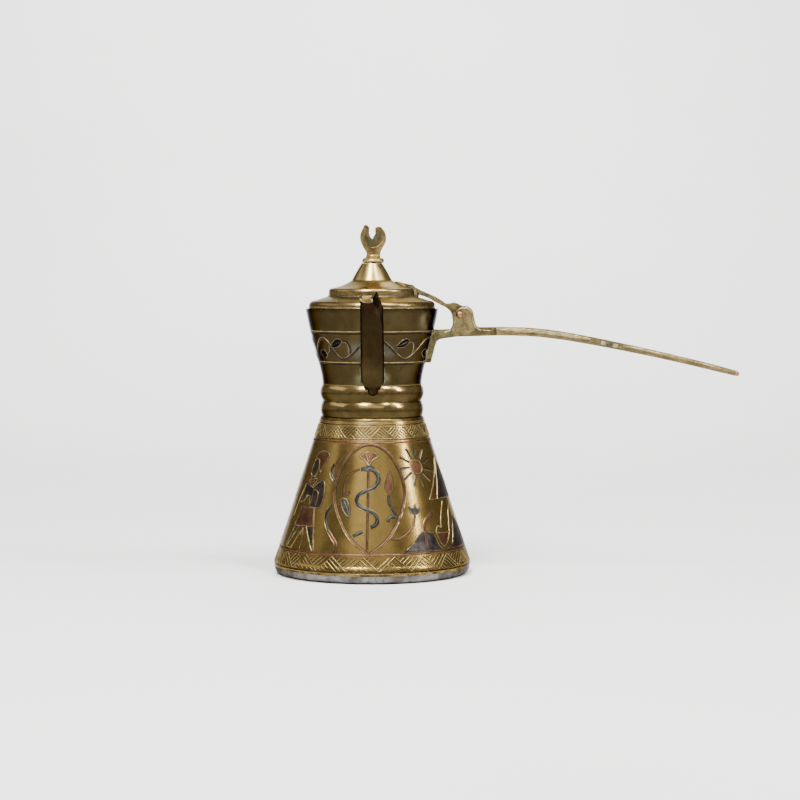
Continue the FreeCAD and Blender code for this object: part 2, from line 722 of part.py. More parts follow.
def bar_and_tail_form():
    return handle_form([
        (BAR_START_X - 1.0, 4.2, 6.8, 1.0, 1.1),
        (75.0, 4.25, 6.7, 1.0, 1.2),
        (90.0, 4.15, 6.5, 1.0, 1.3),
        (105.0, 3.95, 6.2, 1.0, 1.3),
        (118.0, 3.7, 5.9, 1.0, 1.3),
        (135.0, 3.5, 5.7, 1.55, 1.4),
        (160.0, 3.25, 5.2, 1.5, 1.4),
        (176.0, 3.0, 4.6, 1.4, 1.3),
        (TAIL_END_X, 2.7, 3.4, 1.2, 1.0),
    ])


def handle_bar():
    mouth = Vector(BAR_START_X - 0.2, 0, bar_centre_z(BAR_START_X))
    socket = disc(TANG_PEG_R + 0.03, TANG_LENGTH, mouth, Vector(1, 0, 0))
    return biggest(bar_and_tail_form().common(scarf_half(True)).cut(socket).cut(splice_pocket()))


def handle_tail():
    return biggest(bar_and_tail_form().common(scarf_half(False)).cut(splice_pocket()))


def splice_solder():
    patch = splice_pocket().common(bar_and_tail_form())
    return biggest(patch)


def handle_tip():
    """Rounded end cap, a turned nose on the tail's end."""
    start = TAIL_END_X
    straight = TIP_X - start - TIP_R
    across = Vector(1, 0, 0)
    ball = Part.makeSphere(TIP_R, Vector(straight, 0, 0))
    nose = disc(TIP_R, straight, Vector(0, 0, 0), across)
    nose = nose.fuse(ball.cut(disc(TIP_R + 1, 5, Vector(straight - 5, 0, 0), across)))
    slope = Rotation(Vector(0, 1, 0), bar_slope_deg(start))
    nose.Placement = Placement(Vector(start, 0, bar_centre_z(start)), slope)
    return nose


NODES = {
    "base_plate": base_plate,
    "base_solder_seam": base_solder_seam,
    "lower_body": lower_body,
    "copper_border_wires": copper_border_wires,
    "upper_body": upper_body,
    "spout": spout,
    "lid_shell": lid_shell,
    "lid_bezel": lid_bezel,
    "lid_strap": lid_strap,
    "strap_solder": strap_solder,
    "finial_ring": finial_ring,
    "crescent_finial": crescent_finial,
    "finial_burr": finial_burr,
    "handle_bracket": handle_bracket,
    "hinge_pin": hinge_pin,
    "handle_bar": handle_bar,
    "splice_solder": splice_solder,
    "handle_tail": handle_tail,
    "handle_tip": handle_tip,
}

os.makedirs("parts", exist_ok=True)
for name, build in NODES.items():
    shape = build()
    assert shape.isValid(), name
    shape.exportStep(f"parts/{name}.step")
    print(f"{name}: {len(shape.Solids)} solid(s), {shape.Volume:.1f} mm3")
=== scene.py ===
"""Looks of the long-handled brass coffee pot.

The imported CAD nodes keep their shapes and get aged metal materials. The inlaid frieze, the chased
bands, the vine, the solder and the casting ridges are thin pieces laid on the CAD surfaces. Their
lengths are in millimetres and their angles in degrees until a point is made, when they are turned
into metres. An angle round the pot is 0 at the spout and grows towards the handle. The floor, the
lights and the camera are in metres.
"""
import math
import random

import bmesh
import bpy
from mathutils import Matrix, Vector
from mathutils.bvhtree import BVHTree


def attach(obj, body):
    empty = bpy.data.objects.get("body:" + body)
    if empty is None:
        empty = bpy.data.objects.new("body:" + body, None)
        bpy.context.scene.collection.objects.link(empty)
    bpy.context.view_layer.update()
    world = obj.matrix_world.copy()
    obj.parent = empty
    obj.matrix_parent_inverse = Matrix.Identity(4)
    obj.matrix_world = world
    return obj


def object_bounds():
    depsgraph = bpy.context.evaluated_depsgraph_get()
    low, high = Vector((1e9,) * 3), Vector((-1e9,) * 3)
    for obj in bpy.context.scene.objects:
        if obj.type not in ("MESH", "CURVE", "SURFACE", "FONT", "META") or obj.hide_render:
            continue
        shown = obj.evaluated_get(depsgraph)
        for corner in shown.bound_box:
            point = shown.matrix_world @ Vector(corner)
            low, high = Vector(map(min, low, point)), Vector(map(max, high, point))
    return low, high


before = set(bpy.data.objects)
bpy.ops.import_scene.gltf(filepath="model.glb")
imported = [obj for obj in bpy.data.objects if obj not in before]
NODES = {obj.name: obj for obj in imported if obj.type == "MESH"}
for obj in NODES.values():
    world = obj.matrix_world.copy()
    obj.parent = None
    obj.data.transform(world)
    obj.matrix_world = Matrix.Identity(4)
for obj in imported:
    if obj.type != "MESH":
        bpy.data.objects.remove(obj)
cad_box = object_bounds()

MM = 0.001
RAY_START = 0.2  # metres to the side of the axis, outside every node that a ray looks at
SUNK = -0.04  # height of the edges of a laid-on piece, just below the CAD surface
DEGREE_LENGTH = 0.6  # about how long a degree is round the pot


# ---------------------------------------------------------------- surfaces of the pot
def tree_of(node):
    """A node's mesh, ready for rays."""
    mesh = NODES[node].data
    return BVHTree.FromPolygons([v.co for v in mesh.vertices], [p.vertices for p in mesh.polygons])


class Surface:
    """The outside of a turned CAD node, looked up by angle and height."""

    def __init__(self, node, low, high, angle=30.0, reach=1.0):
        self.tree = tree_of(node)
        self.low, self.step, self.reach = low, 0.25, reach
        self.radii = []
        for i in range(int((high - low) / self.step) + 1):
            found = self.hit(angle, low + i * self.step)
            self.radii.append(found if found else self.radii[-1])

    def hit(self, angle, z):
        """Radius where a level ray towards the axis meets the node."""
        a = math.radians(angle)
        out = Vector((math.sin(a), -math.cos(a), 0.0))
        found = self.tree.ray_cast(out * RAY_START + Vector((0.0, 0.0, z * MM)), -out)[0]
        return Vector((found.x, found.y)).length / MM if found else None

    def r(self, z):
        """Radius at a height."""
        at = min(max((z - self.low) / self.step, 0.0), len(self.radii) - 1.001)
        i = int(at)
        return self.radii[i] + (self.radii[i + 1] - self.radii[i]) * (at - i)

    def normal(self, angle, z):
        slope = (self.r(z + self.reach) - self.r(z - self.reach)) / (2 * self.reach)
        a = math.radians(angle)
        return Vector((math.sin(a), -math.cos(a), -slope)).normalized()

    def point(self, angle, z, out=0.0):
        a = math.radians(angle)
        r = self.hit(angle, z) or self.r(z)
        return (Vector((r * math.sin(a), -r * math.cos(a), z)) + self.normal(angle, z) * out) * MM


class Front:
    """The front (side -1) or back (side 1) of nodes that are not turned, looked up by x and height."""

    def __init__(self, nodes, side):
        self.side = side
        self.trees = [tree_of(node) for node in nodes]

    def cast(self, x, z):
        """The first thing that a ray from this side meets."""
        origin = Vector((x * MM, RAY_START * self.side, z * MM))
        hits = [t.ray_cast(origin, Vector((0.0, -self.side, 0.0))) for t in self.trees]
        hits = [h for h in hits if h[0]]
        return min(hits, key=lambda h: (h[0] - origin).length) if hits else None

    def normal(self, x, z):
        return Vector((0.0, float(self.side), 0.0))

    def point(self, x, z, out=0.0):
        """A point on the nodes, or at the last depth found where a ray misses them."""
        found = self.cast(x, z)
        if found:
            self.depth = found[0].y
        return Vector((x * MM, self.depth, z * MM)) + self.normal(x, z) * out * MM


CONE = Surface("lower_body", 4.5, 78.0, reach=4.0)
COLLAR = Surface("upper_body", 95.0, 131.5, reach=2.0)
LID_TOP = Surface("lid_shell", 132.0, 154.0, angle=-30.0, reach=0.6)


def between(a, b, c, d, t):
    """Value of a Catmull-Rom curve at t from b to c."""
    return 0.5 * (2 * b + (c - a) * t + (2 * a - 5 * b + 4 * c - d) * t * t
                  + (3 * b - a - 3 * c + d) * t ** 3)


def smooth_path(points, step=1.0, closed=False):
    """Points on a Catmull-Rom curve through the control points, about step apart."""
    n = len(points)
    made = []
    for i in range(n if closed else n - 1):
        if closed:
            p0, p1, p2, p3 = (points[(i + k) % n] for k in (-1, 0, 1, 2))
        else:
            p0, p1, p2, p3 = points[max(i - 1, 0)], points[i], points[i + 1], points[min(i + 2, n - 1)]
        gap = math.hypot((p2[0] - p1[0]) * DEGREE_LENGTH, p2[1] - p1[1])
        count = max(2, int(gap / step) + 1)
        for k in range(count):
            made.append(tuple(between(*four, k / count) for four in zip(p0, p1, p2, p3)))
    if not closed:
        made.append(tuple(points[-1]))
    return made


def straight_path(points, step=1.0, closed=False):
    """Points on straight lines from point to point, about step apart."""
    ends = points[1:] + (points[:1] if closed else [])
    made = []
    for a, b in zip(points, ends):
        count = max(1, int(math.hypot((b[0] - a[0]) * DEGREE_LENGTH, b[1] - a[1]) / step))
        made += [(a[0] + (b[0] - a[0]) * k / count, a[1] + (b[1] - a[1]) * k / count)
                 for k in range(count)]
    return made if closed else made + [tuple(points[-1])]


def ring_path(z):
    """Points two degrees apart round the pot."""
    return [(2.0 * k, z) for k in range(180)]


class Piece:
    """Collects strips and patches into one mesh."""

    def __init__(self, name):
        self.name = name
        self.bm = bmesh.new()

    def strip(self, surface, path, width, height, shift=0.0, taper=0.0, closed=False, flat=False,
              wobble=0.0, seed=0):
        """A raised strip along a path of (angle, height) points.

        Its section is flat or rounded. Shift moves it sideways, taper narrows its ends, and wobble
        makes its width and height uneven.
        """
        rng = random.Random(seed)
        n = len(path)
        rows = []
        if flat:
            section = [(-1.0, SUNK), (-0.8, height * 0.92), (0.8, height * 0.92), (1.0, SUNK)]
        else:
            section = [(-1.0, SUNK), (-0.62, height * 0.72), (0.0, height), (0.62, height * 0.72), (1.0, SUNK)]
        for i, (angle, z) in enumerate(path):
            if closed:
                a, b = path[(i - 1) % n], path[(i + 1) % n]
            else:
                a, b = path[max(i - 1, 0)], path[min(i + 1, n - 1)]
            normal = surface.normal(angle, z)
            along = surface.point(b[0], b[1]) - surface.point(a[0], a[1])
            side = along.cross(normal).normalized()
            t = i / max(n - 1, 1)
            half = width / 2
            if taper and not closed:
                half *= 1.0 - taper * (1.0 - min(1.0, min(t, 1.0 - t) * 6.0))
            half *= 1.0 + wobble * rng.uniform(-1.0, 1.0)
            lift = 1.0 + wobble * rng.uniform(-0.8, 0.8)
            centre = surface.point(angle, z) + side * shift * MM
            rows.append([
                self.bm.verts.new(centre + side * (k * half * MM)
                                  + normal * ((h * lift if h > 0 else h) * MM))
                for k, h in section
            ])
        pairs = list(zip(rows, rows[1:])) + ([(rows[-1], rows[0])] if closed else [])
        for a, b in pairs:
            for k in range(len(section) - 1):
                self.bm.faces.new((a[k], a[k + 1], b[k + 1], b[k]))
        if not closed:
            self.bm.faces.new(rows[0][::-1])
            self.bm.faces.new(rows[-1])

    def patch(self, surface, outline, height, step=1.6):
        """A thin sheet with a closed outline of (angle, height) points, laid on a surface.

        It is cut every step degrees, so that it follows the surface round.
        """
        flat = bmesh.new()
        face = flat.faces.new([flat.verts.new((a, z, 0.0)) for a, z in outline])
        bmesh.ops.triangulate(flat, faces=[face])
        last = max(a for a, _ in outline)
        cut = min(a for a, _ in outline) + step
        while cut < last:
            bmesh.ops.bisect_plane(flat, geom=flat.verts[:] + flat.edges[:] + flat.faces[:],
                                   plane_co=(cut, 0.0, 0.0), plane_no=(1.0, 0.0, 0.0))
            cut += step
        tops, lower = {}, {}
        for v in flat.verts:
            tops[v] = self.bm.verts.new(surface.point(v.co.x, v.co.y, height))
        for f in flat.faces:
            self.bm.faces.new([tops[v] for v in f.verts])
        for e in flat.edges:
            if len(e.link_faces) == 1:
                for v in e.verts:
                    if v not in lower:
                        lower[v] = self.bm.verts.new(surface.point(v.co.x, v.co.y, SUNK))
                a, b = e.verts
                self.bm.faces.new((tops[a], tops[b], lower[b], lower[a]))
        flat.free()

    def done(self, material, slot, body="pot"):
        """Turns what was collected into an object that rides on a body."""
        bmesh.ops.recalc_face_normals(self.bm, faces=self.bm.faces[:])
        mesh = bpy.data.meshes.new(self.name)
        self.bm.to_mesh(mesh)
        self.bm.free()
        mesh.materials.append(material)
        made = bpy.data.objects.new(self.name, mesh)
        bpy.context.scene.collection.objects.link(made)
        mesh.shade_smooth()
        mesh.set_sharp_from_angle(angle=math.radians(40.0))
        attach(made, body)


# ---------------------------------------------------------------- materials
class Graph:
    """Short names for the shader nodes that the metals share."""

    def __init__(self, name):
        self.material = bpy.data.materials.new(name)
        self.material.use_nodes = True
        self.tree = self.material.node_tree
        self.shader = self.tree.nodes["Principled BSDF"]
        self.place = self.node("ShaderNodeTexCoord").outputs["Object"]

    def node(self, kind, **values):
        made = self.tree.nodes.new(kind)
        for key, value in values.items():
            setattr(made, key, value)
        return made

    def link(self, a, b):
        self.tree.links.new(a, b)

    def put(self, socket, value):
        if isinstance(value, bpy.types.NodeSocket):
            self.link(value, socket)
        else:
            socket.default_value = value

    def noise(self, scale, detail=4.0, rough=0.55, stretch=None, distortion=0.0, offset=0.0):
        place = self.place
        if stretch or offset:
            mapping = self.node("ShaderNodeMapping")
            self.link(place, mapping.inputs["Vector"])
            mapping.inputs["Location"].default_value = (offset, offset * 0.7, offset * 1.3)
            if stretch:
                mapping.inputs["Scale"].default_value = stretch
            place = mapping.outputs["Vector"]
        made = self.node("ShaderNodeTexNoise")
        self.link(place, made.inputs["Vector"])
        made.inputs["Scale"].default_value = scale
        made.inputs["Detail"].default_value = detail
        made.inputs["Roughness"].default_value = rough
        made.inputs["Distortion"].default_value = distortion
        return made.outputs["Fac"]

    def span(self, value, low, high, to_low=0.0, to_high=1.0):
        """A smooth step from to_low to to_high while the value goes from low to high."""
        made = self.node("ShaderNodeMapRange", interpolation_type="SMOOTHSTEP")
        self.put(made.inputs["Value"], value)
        made.inputs["From Min"].default_value = low
        made.inputs["From Max"].default_value = high
        made.inputs["To Min"].default_value = to_low
        made.inputs["To Max"].default_value = to_high
        return made.outputs["Result"]

    def math(self, operation, a, b=0.0):
        made = self.node("ShaderNodeMath", operation=operation)
        self.put(made.inputs[0], a)
        self.put(made.inputs[1], b)
        return made.outputs[0]

    def mix(self, factor, a, b):
        made = self.node("ShaderNodeMix", data_type="RGBA")
        self.put(made.inputs[0], factor)
        for socket, value in ((made.inputs[6], a), (made.inputs[7], b)):
            self.put(socket, (*value, 1.0) if isinstance(value, tuple) else value)
        return made.outputs[2]

    def near(self, centre, inner, outer):
        """1 inside a ball round a point given in millimetres, fading to 0 at the outer radius."""
        made = self.node("ShaderNodeVectorMath", operation="DISTANCE")
        self.link(self.place, made.inputs[0])
        made.inputs[1].default_value = tuple(c * MM for c in centre)
        return self.span(made.outputs["Value"], inner * MM, outer * MM, 1.0, 0.0)

    def band(self, low, high, soft, letter="Z"):
        """1 between two places on an axis, in millimetres, with soft edges."""
        split = self.node("ShaderNodeSeparateXYZ")
        self.link(self.place, split.inputs[0])
        at = split.outputs[letter]
        rising = self.span(at, (low - soft) * MM, (low + soft) * MM)
        falling = self.span(at, (high - soft) * MM, (high + soft) * MM, 1.0, 0.0)
        return self.math("MULTIPLY", rising, falling)

    def inward(self):
        """1 on walls that face the pot's own axis, 0 on the outside."""
        flat = self.node("ShaderNodeVectorMath", operation="MULTIPLY")
        self.link(self.place, flat.inputs[0])
        flat.inputs[1].default_value = (1.0, 1.0, 0.0)
        unit = self.node("ShaderNodeVectorMath", operation="NORMALIZE")
        self.link(flat.outputs["Vector"], unit.inputs[0])
        made = self.node("ShaderNodeVectorMath", operation="DOT_PRODUCT")
        self.link(unit.outputs["Vector"], made.inputs[0])
        self.link(self.node("ShaderNodeTexCoord").outputs["Normal"], made.inputs[1])
        return self.span(made.outputs["Value"], -0.4, -0.15, 1.0, 0.0)

    def facing(self, direction, low, high):
        """1 where the surface faces a direction of the object's own space, 0 where it looks away."""
        made = self.node("ShaderNodeVectorMath", operation="DOT_PRODUCT")
        self.link(self.node("ShaderNodeTexCoord").outputs["Normal"], made.inputs[0])
        made.inputs[1].default_value = direction
        return self.span(made.outputs["Value"], low, high)


def metal(name, light, dark, stain, rough=(0.30, 0.48), grain=70.0, metallic=1.0, zones=(), patches=(),
          stained=0.5, bump=0.25, pits=0.0, turned=False, tint=0.6):
    """An aged metal: two cloudy tones, specks of stain, and zones and patches of other tones.

    Zones change the two tones, some of them as painted light and shade, and patches are dirt, wear,
    painted shade and painted highlights that also dull the surface. Grain and the other noise scales are per metre.
    """
    g = Graph(name)
    cloud = g.span(g.noise(grain, 6.0, 0.6, distortion=0.6), 0.34, 0.66)
    colour = g.mix(cloud, light, dark)
    for mask, zone_light, zone_dark in (z(g) for z in zones):
        colour = g.mix(mask, colour, g.mix(cloud, zone_light, zone_dark))
    speck = g.span(g.noise(grain * 4.3, 5.0, 0.7, offset=0.31), 0.52, 0.74, 0.0, stained)
    colour = g.mix(speck, colour, stain)
    roughness = g.span(g.noise(grain * 1.7, 5.0, 0.65, offset=0.11), 0.3, 0.7, rough[0], rough[1])
    dullness = None
    for mask, tone, strength in (p(g) for p in patches):
        broken = g.span(g.noise(grain * 3.1, 5.0, 0.7, offset=0.53), 0.36, 0.62, 0.35, 1.0)
        amount = g.math("MULTIPLY", g.math("MULTIPLY", mask, broken), strength)
        colour = g.mix(amount, colour, tone)
        dullness = amount if dullness is None else g.math("MAXIMUM", dullness, amount)
    if dullness is not None:
        roughness = g.math("ADD", roughness, g.math("MULTIPLY", dullness, 0.12))
    g.link(colour, g.shader.inputs["Base Color"])
    g.link(roughness, g.shader.inputs["Roughness"])
    g.shader.inputs["Metallic"].default_value = metallic
    g.shader.inputs["Specular Tint"].default_value = (tint, tint * 1.02, tint * 1.08, 1.0)
    fine = g.noise(900.0, 3.0, 0.6, stretch=(1.0, 1.0, 4.0) if turned else None)
    coarse = g.noise(grain * 2.2, 3.0, 0.5, offset=0.77)
    relief = g.math("ADD", g.math("MULTIPLY", fine, 0.25), g.math("MULTIPLY", coarse, 0.9))
    if pits:
        holes = g.span(g.noise(1500.0, 2.0, 0.5, offset=0.2), 0.30, 0.42, -pits, 0.0)
        relief = g.math("ADD", relief, holes)
    made = g.node("ShaderNodeBump")
    made.inputs["Strength"].default_value = bump
    made.inputs["Distance"].default_value = 0.0004
    g.link(relief, made.inputs["Height"])
    g.link(made.outputs["Normal"], g.shader.inputs["Normal"])
    return g.material


# What metal() takes as zones and patches.
def near(centre, inner, outer, tone, strength):
    return lambda g: (g.near(centre, inner, outer), tone, strength)


def band(low, high, soft, tone, strength, letter="Z"):
    return lambda g: (g.band(low, high, soft, letter), tone, strength)


def inward(tone, strength):
    return lambda g: (g.inward(), tone, strength)


def facing(direction, low, high, tone, strength, bottom, top):
    return lambda g: (
        g.math("MULTIPLY", g.facing(direction, low, high), g.band(bottom, top, 0.4)), tone, strength)


def zone(low, high, soft, light, dark):
    return lambda g: (g.band(low, high, soft), light, dark)


# Base colours of the dirt, the worn spots and the painted shade, and of the brasses that are used twice.
VERDIGRIS = (0.13, 0.16, 0.085)
GREY_SMEAR = (0.062, 0.060, 0.048)
# The next two dark tones serve both for real dirt and soot and for painted shade.
DIRT_AND_SHADE = (0.04, 0.028, 0.012)
SOOT_AND_SHADE = (0.010, 0.007, 0.004)
OXIDE = (0.19, 0.10, 0.035)
RED_STAIN = (0.20, 0.115, 0.04)
CAST_DIRT = (0.05, 0.045, 0.028)
OLD_TIN = (0.40, 0.385, 0.34)
# Painted shade for the dark lower halves of the collar's beads.
PAINTED_BEAD_SHADE = (0.062, 0.044, 0.016)
PAINTED_BEAD_SHADE_DARK = (0.036, 0.025, 0.009)

BODY = metal(
    "aged_brass_body", (0.335, 0.222, 0.066), (0.29, 0.19, 0.055), (0.15, 0.085, 0.022),
    rough=(0.20, 0.26), stained=0.22, bump=0.10, tint=0.40,
    zones=(zone(68.0, 77.0, 1.2, (0.46, 0.32, 0.115), (0.37, 0.25, 0.085)),),
    patches=(
        inward(OLD_TIN, 1.0),
        band(3.0, 5.6, 0.9, SOOT_AND_SHADE, 0.9),
        near((-34.0, -24.0, 22.0), 3.0, 16.0, OXIDE, 0.25),
        band(77.4, 79.0, 0.5, DIRT_AND_SHADE, 0.8),
        band(66.2, 69.4, 0.9, RED_STAIN, 0.45),
        band(13.4, 15.4, 0.7, RED_STAIN, 0.45),
    ))
# The collar's base tones are far darker than the brass of its beads: patina together with painted shade.
COLLAR_METAL = metal(
    "aged_and_shaded_brass_collar", (0.037, 0.0268, 0.0108), (0.025, 0.0175, 0.0068), (0.018, 0.012, 0.006),
    rough=(0.14, 0.20), bump=0.08, tint=0.38,
    zones=(
        zone(70.0, 94.6, 0.8, (0.48, 0.335, 0.13), (0.38, 0.255, 0.088)),
        # The lower half of each bead is darkened: painted shade.
        zone(86.4, 91.1, 0.6, PAINTED_BEAD_SHADE, PAINTED_BEAD_SHADE_DARK),
        zone(78.0, 82.7, 0.6, PAINTED_BEAD_SHADE, PAINTED_BEAD_SHADE_DARK),
    ),
    patches=(
        inward(OLD_TIN, 1.0),
        near((-8.0, -28.0, 112.0), 1.0, 6.5, GREY_SMEAR, 0.7),
        near((8.5, -28.0, 112.0), 1.0, 6.0, GREY_SMEAR, 0.7),
        near((-6.5, -26.0, 97.0), 1.0, 5.0, VERDIGRIS, 0.45),
        near((7.0, -26.0, 98.0), 1.0, 4.5, VERDIGRIS, 0.45),
        # A lighter patch on the collar's right: wear with a painted highlight.
        near((27.0, -18.0, 127.0), 2.0, 8.0, (0.13, 0.105, 0.055), 0.8),
        # Darker right-hand side of the collar and its beads: painted shade.
        near((25.0, -10.0, 100.0), 2.0, 8.0, SOOT_AND_SHADE, 0.7),
        near((25.5, -9.0, 88.0), 2.0, 8.0, DIRT_AND_SHADE, 0.7),
        near((26.5, -8.0, 81.0), 2.0, 7.0, DIRT_AND_SHADE, 0.7),
        # Darker grooves under the beads: painted shade.
        band(85.9, 86.9, 0.5, SOOT_AND_SHADE, 0.8),
        band(78.0, 79.0, 0.4, SOOT_AND_SHADE, 0.8),
        band(93.8, 95.2, 0.5, DIRT_AND_SHADE, 0.5),
        # A dark band just under the lid's edge: painted shadow.
        band(131.0, 133.0, 0.6, SOOT_AND_SHADE, 0.5),
    ))
# The spout's base tones are near black: painted shade over its patina.
SPOUT_METAL = metal(
    "aged_and_shaded_brass_spout", (0.021, 0.0132, 0.0050), (0.012, 0.0078, 0.0031), (0.009, 0.006, 0.003),
    rough=(0.30, 0.46), tint=0.3,
    # Lighter towards the bottom of the spout: painted light.
    zones=(zone(90.0, 106.0, 6.0, (0.037, 0.026, 0.0095), (0.023, 0.016, 0.006)),),
    patches=(
        # Darker over the top of the spout: painted shade.
        band(126.0, 137.2, 5.0, SOOT_AND_SHADE, 0.7),
        # The dark reddish tongue below the spout's mouth: painted shadow.
        band(88.0, 94.6, 0.7, (0.016, 0.0065, 0.004), 0.95),
        near((-1.5, -45.0, 132.5), 1.5, 5.0, (0.018, 0.006, 0.003), 0.9),
        band(-7.0, -4.7, 0.5, SOOT_AND_SHADE, 0.8, "X"),
        band(5.0, 7.0, 0.5, SOOT_AND_SHADE, 0.8, "X"),
        # A pale patch high on the spout's right: painted highlight.
        near((3.9, -39.5, 134.5), 1.5, 6.5, (0.15, 0.105, 0.045), 0.8),
        near((4.6, -36.5, 139.5), 1.5, 4.5, (0.09, 0.08, 0.06), 0.8),
        # Lighter faces on the spout's lip that look up and forward: painted highlight.
        facing((0.0, -0.64, 0.77), 0.78, 0.90, (0.16, 0.135, 0.09), 0.9, 134.4, 137.8),
    ))
LID = metal(
    "turned_brass_lid", (0.38, 0.275, 0.108), (0.30, 0.21, 0.077), (0.19, 0.12, 0.042),
    rough=(0.24, 0.32), turned=True, bump=0.07, tint=0.36,
    # Darker tones on the lid's flange: painted shade that dims its highlight.
    zones=(zone(130.0, 136.9, 0.6, (0.27, 0.195, 0.08), (0.21, 0.148, 0.057)),),
    patches=(
        band(138.1, 139.0, 0.3, VERDIGRIS, 0.7),
        band(145.6, 146.6, 0.5, DIRT_AND_SHADE, 0.6),
    ))
FINIAL = metal(
    "cast_brass_finial", (0.25, 0.178, 0.074), (0.12, 0.082, 0.032), (0.06, 0.038, 0.015),
    rough=(0.28, 0.5), grain=180.0, pits=0.4, bump=0.6, tint=0.4,
    zones=(zone(155.6, 159.3, 0.4, (0.50, 0.345, 0.125), (0.38, 0.26, 0.09)),),
    patches=(
        # Dark greenish tone inside the crescent's recess: dirt and painted shade.
        near((0.3, 0.0, 168.2), 3.4, 5.0, (0.052, 0.060, 0.034), 1.0),
        near((0.5, 0.0, 161.5), 1.0, 4.5, (0.085, 0.052, 0.022), 0.85),
        band(156.7, 157.3, 0.25, DIRT_AND_SHADE, 0.7),
        near((6.2, 0.0, 156.2), 1.4, 3.0, CAST_DIRT, 0.9),
        near((-5.0, 0.0, 156.2), 1.4, 3.0, CAST_DIRT, 0.9),
    ))
HINGE = metal(
    "cast_brass_hinge", (0.27, 0.208, 0.092), (0.095, 0.071, 0.031), (0.055, 0.04, 0.018),
    rough=(0.34, 0.55), grain=190.0, pits=0.6, bump=0.8, stained=0.8, tint=0.4,
    patches=(
        # Darker towards the foot of the bracket: painted shade.
        near((31.0, -3.0, 112.0), 4.0, 9.0, (0.085, 0.068, 0.032), 0.85),
        near((37.0, -3.0, 120.5), 1.0, 5.0, (0.10, 0.13, 0.055), 0.8),
        near((20.5, -3.0, 143.0), 1.0, 3.6, (0.17, 0.18, 0.165), 0.9),
        near((14.0, -3.0, 145.5), 2.0, 4.5, (0.62, 0.48, 0.20), 0.85),
        near((26.0, -2.0, 140.5), 1.0, 3.2, (0.10, 0.11, 0.075), 0.8),
        near((32.6, -2.0, 136.8), 0.4, 1.5, (0.34, 0.13, 0.06), 0.9),
        near((41.0, -4.0, 126.0), 1.0, 5.0, VERDIGRIS, 0.35),
        band(60.9, 63.0, 0.3, DIRT_AND_SHADE, 0.9, "X"),
    ))
HANDLE = metal(
    "cast_brass_handle", (0.29, 0.222, 0.104), (0.115, 0.084, 0.035), (0.045, 0.030, 0.014),
    rough=(0.36, 0.54), grain=190.0, pits=0.5, bump=0.7, stained=0.85, tint=0.4,
    patches=(
        band(61.0, 62.1, 0.2, DIRT_AND_SHADE, 0.95, "X"),
        near((118.5, -3.0, 114.5), 4.6, 8.0, (0.05, 0.038, 0.018), 0.8),
        band(90.0, 260.0, 25.0, (0.105, 0.076, 0.036), 0.75, "X"),
    ))
RIDGE = metal(
    "worn_cast_ridge", (0.46, 0.38, 0.19), (0.25, 0.19, 0.088), (0.09, 0.065, 0.03),
    rough=(0.32, 0.5), grain=240.0, bump=0.6, stained=0.6, tint=0.4)
# Darker tone for the handle bar's lower edge: painted shade.
SHADE = metal(
    "painted_shade_cast_underside", (0.16, 0.12, 0.060), (0.085, 0.062, 0.028), (0.04, 0.028, 0.013),
    rough=(0.36, 0.54), grain=240.0, bump=0.6, stained=0.7, tint=0.4)
SPLICE = metal(
    "splice_solder", (0.28, 0.25, 0.14), (0.065, 0.058, 0.043), (0.03, 0.022, 0.012),
    rough=(0.34, 0.5), grain=230.0, stained=0.8, bump=0.8, tint=0.4,
    patches=(
        near((118.4, -3.0, 114.6), 0.8, 2.6, (0.035, 0.032, 0.026), 1.0),
        near((115.2, -3.0, 115.4), 0.5, 1.7, (0.60, 0.54, 0.28), 1.0),
        near((121.6, -3.0, 113.8), 0.5, 1.6, (0.60, 0.54, 0.34), 1.0),
    ))
COPPER = metal(
    "copper", (0.15, 0.073, 0.040), (0.095, 0.045, 0.025), (0.05, 0.024, 0.016),
    rough=(0.32, 0.5), grain=260.0, stained=0.75, tint=0.4)
PALE_COPPER = metal(
    "pale_copper", (0.40, 0.20, 0.105), (0.26, 0.125, 0.065), (0.13, 0.06, 0.032),
    rough=(0.30, 0.5), grain=200.0, tint=0.4)
SILVER = metal(
    "tarnished_silver", (0.060, 0.064, 0.060), (0.024, 0.027, 0.027), (0.016, 0.014, 0.012),
    rough=(0.3, 0.5), grain=300.0, stained=0.7, bump=0.5, tint=0.4)
GREY_SILVER = metal(
    "grey_silver", (0.078, 0.066, 0.058), (0.030, 0.025, 0.024), (0.016, 0.012, 0.011),
    rough=(0.3, 0.5), grain=210.0, stained=0.8, bump=0.5, tint=0.4)
NIELLO = metal(
    "dark_niello", (0.082, 0.060, 0.046), (0.042, 0.030, 0.025), (0.02, 0.013, 0.010),
    rough=(0.32, 0.5), grain=300.0, stained=0.75, bump=0.5, tint=0.4)
BRIGHT = metal(
    "bright_cut", (0.37, 0.285, 0.13), (0.23, 0.168, 0.068), (0.13, 0.085, 0.03),
    rough=(0.28, 0.42), grain=240.0, tint=0.5)
WORN_CUT = metal(
    "worn_cut", (0.31, 0.24, 0.125), (0.18, 0.135, 0.062), (0.06, 0.042, 0.018),
    rough=(0.3, 0.45), grain=240.0, tint=0.4)
BLACKENED = metal(
    "blackened_silver", (0.007, 0.0055, 0.006), (0.004, 0.0035, 0.004), (0.003, 0.002, 0.002),
    rough=(0.28, 0.4), grain=260.0, tint=0.2)
DARK = metal(
    "dark_groove", (0.022, 0.016, 0.009), (0.014, 0.010, 0.006), (0.008, 0.006, 0.004),
    rough=(0.45, 0.6), grain=240.0, metallic=0.6, tint=0.3)
OLIVE_LINE = metal(
    "olive_groove", (0.070, 0.047, 0.014), (0.042, 0.028, 0.0085), (0.02, 0.013, 0.005),
    rough=(0.4, 0.55), grain=240.0, tint=0.3)
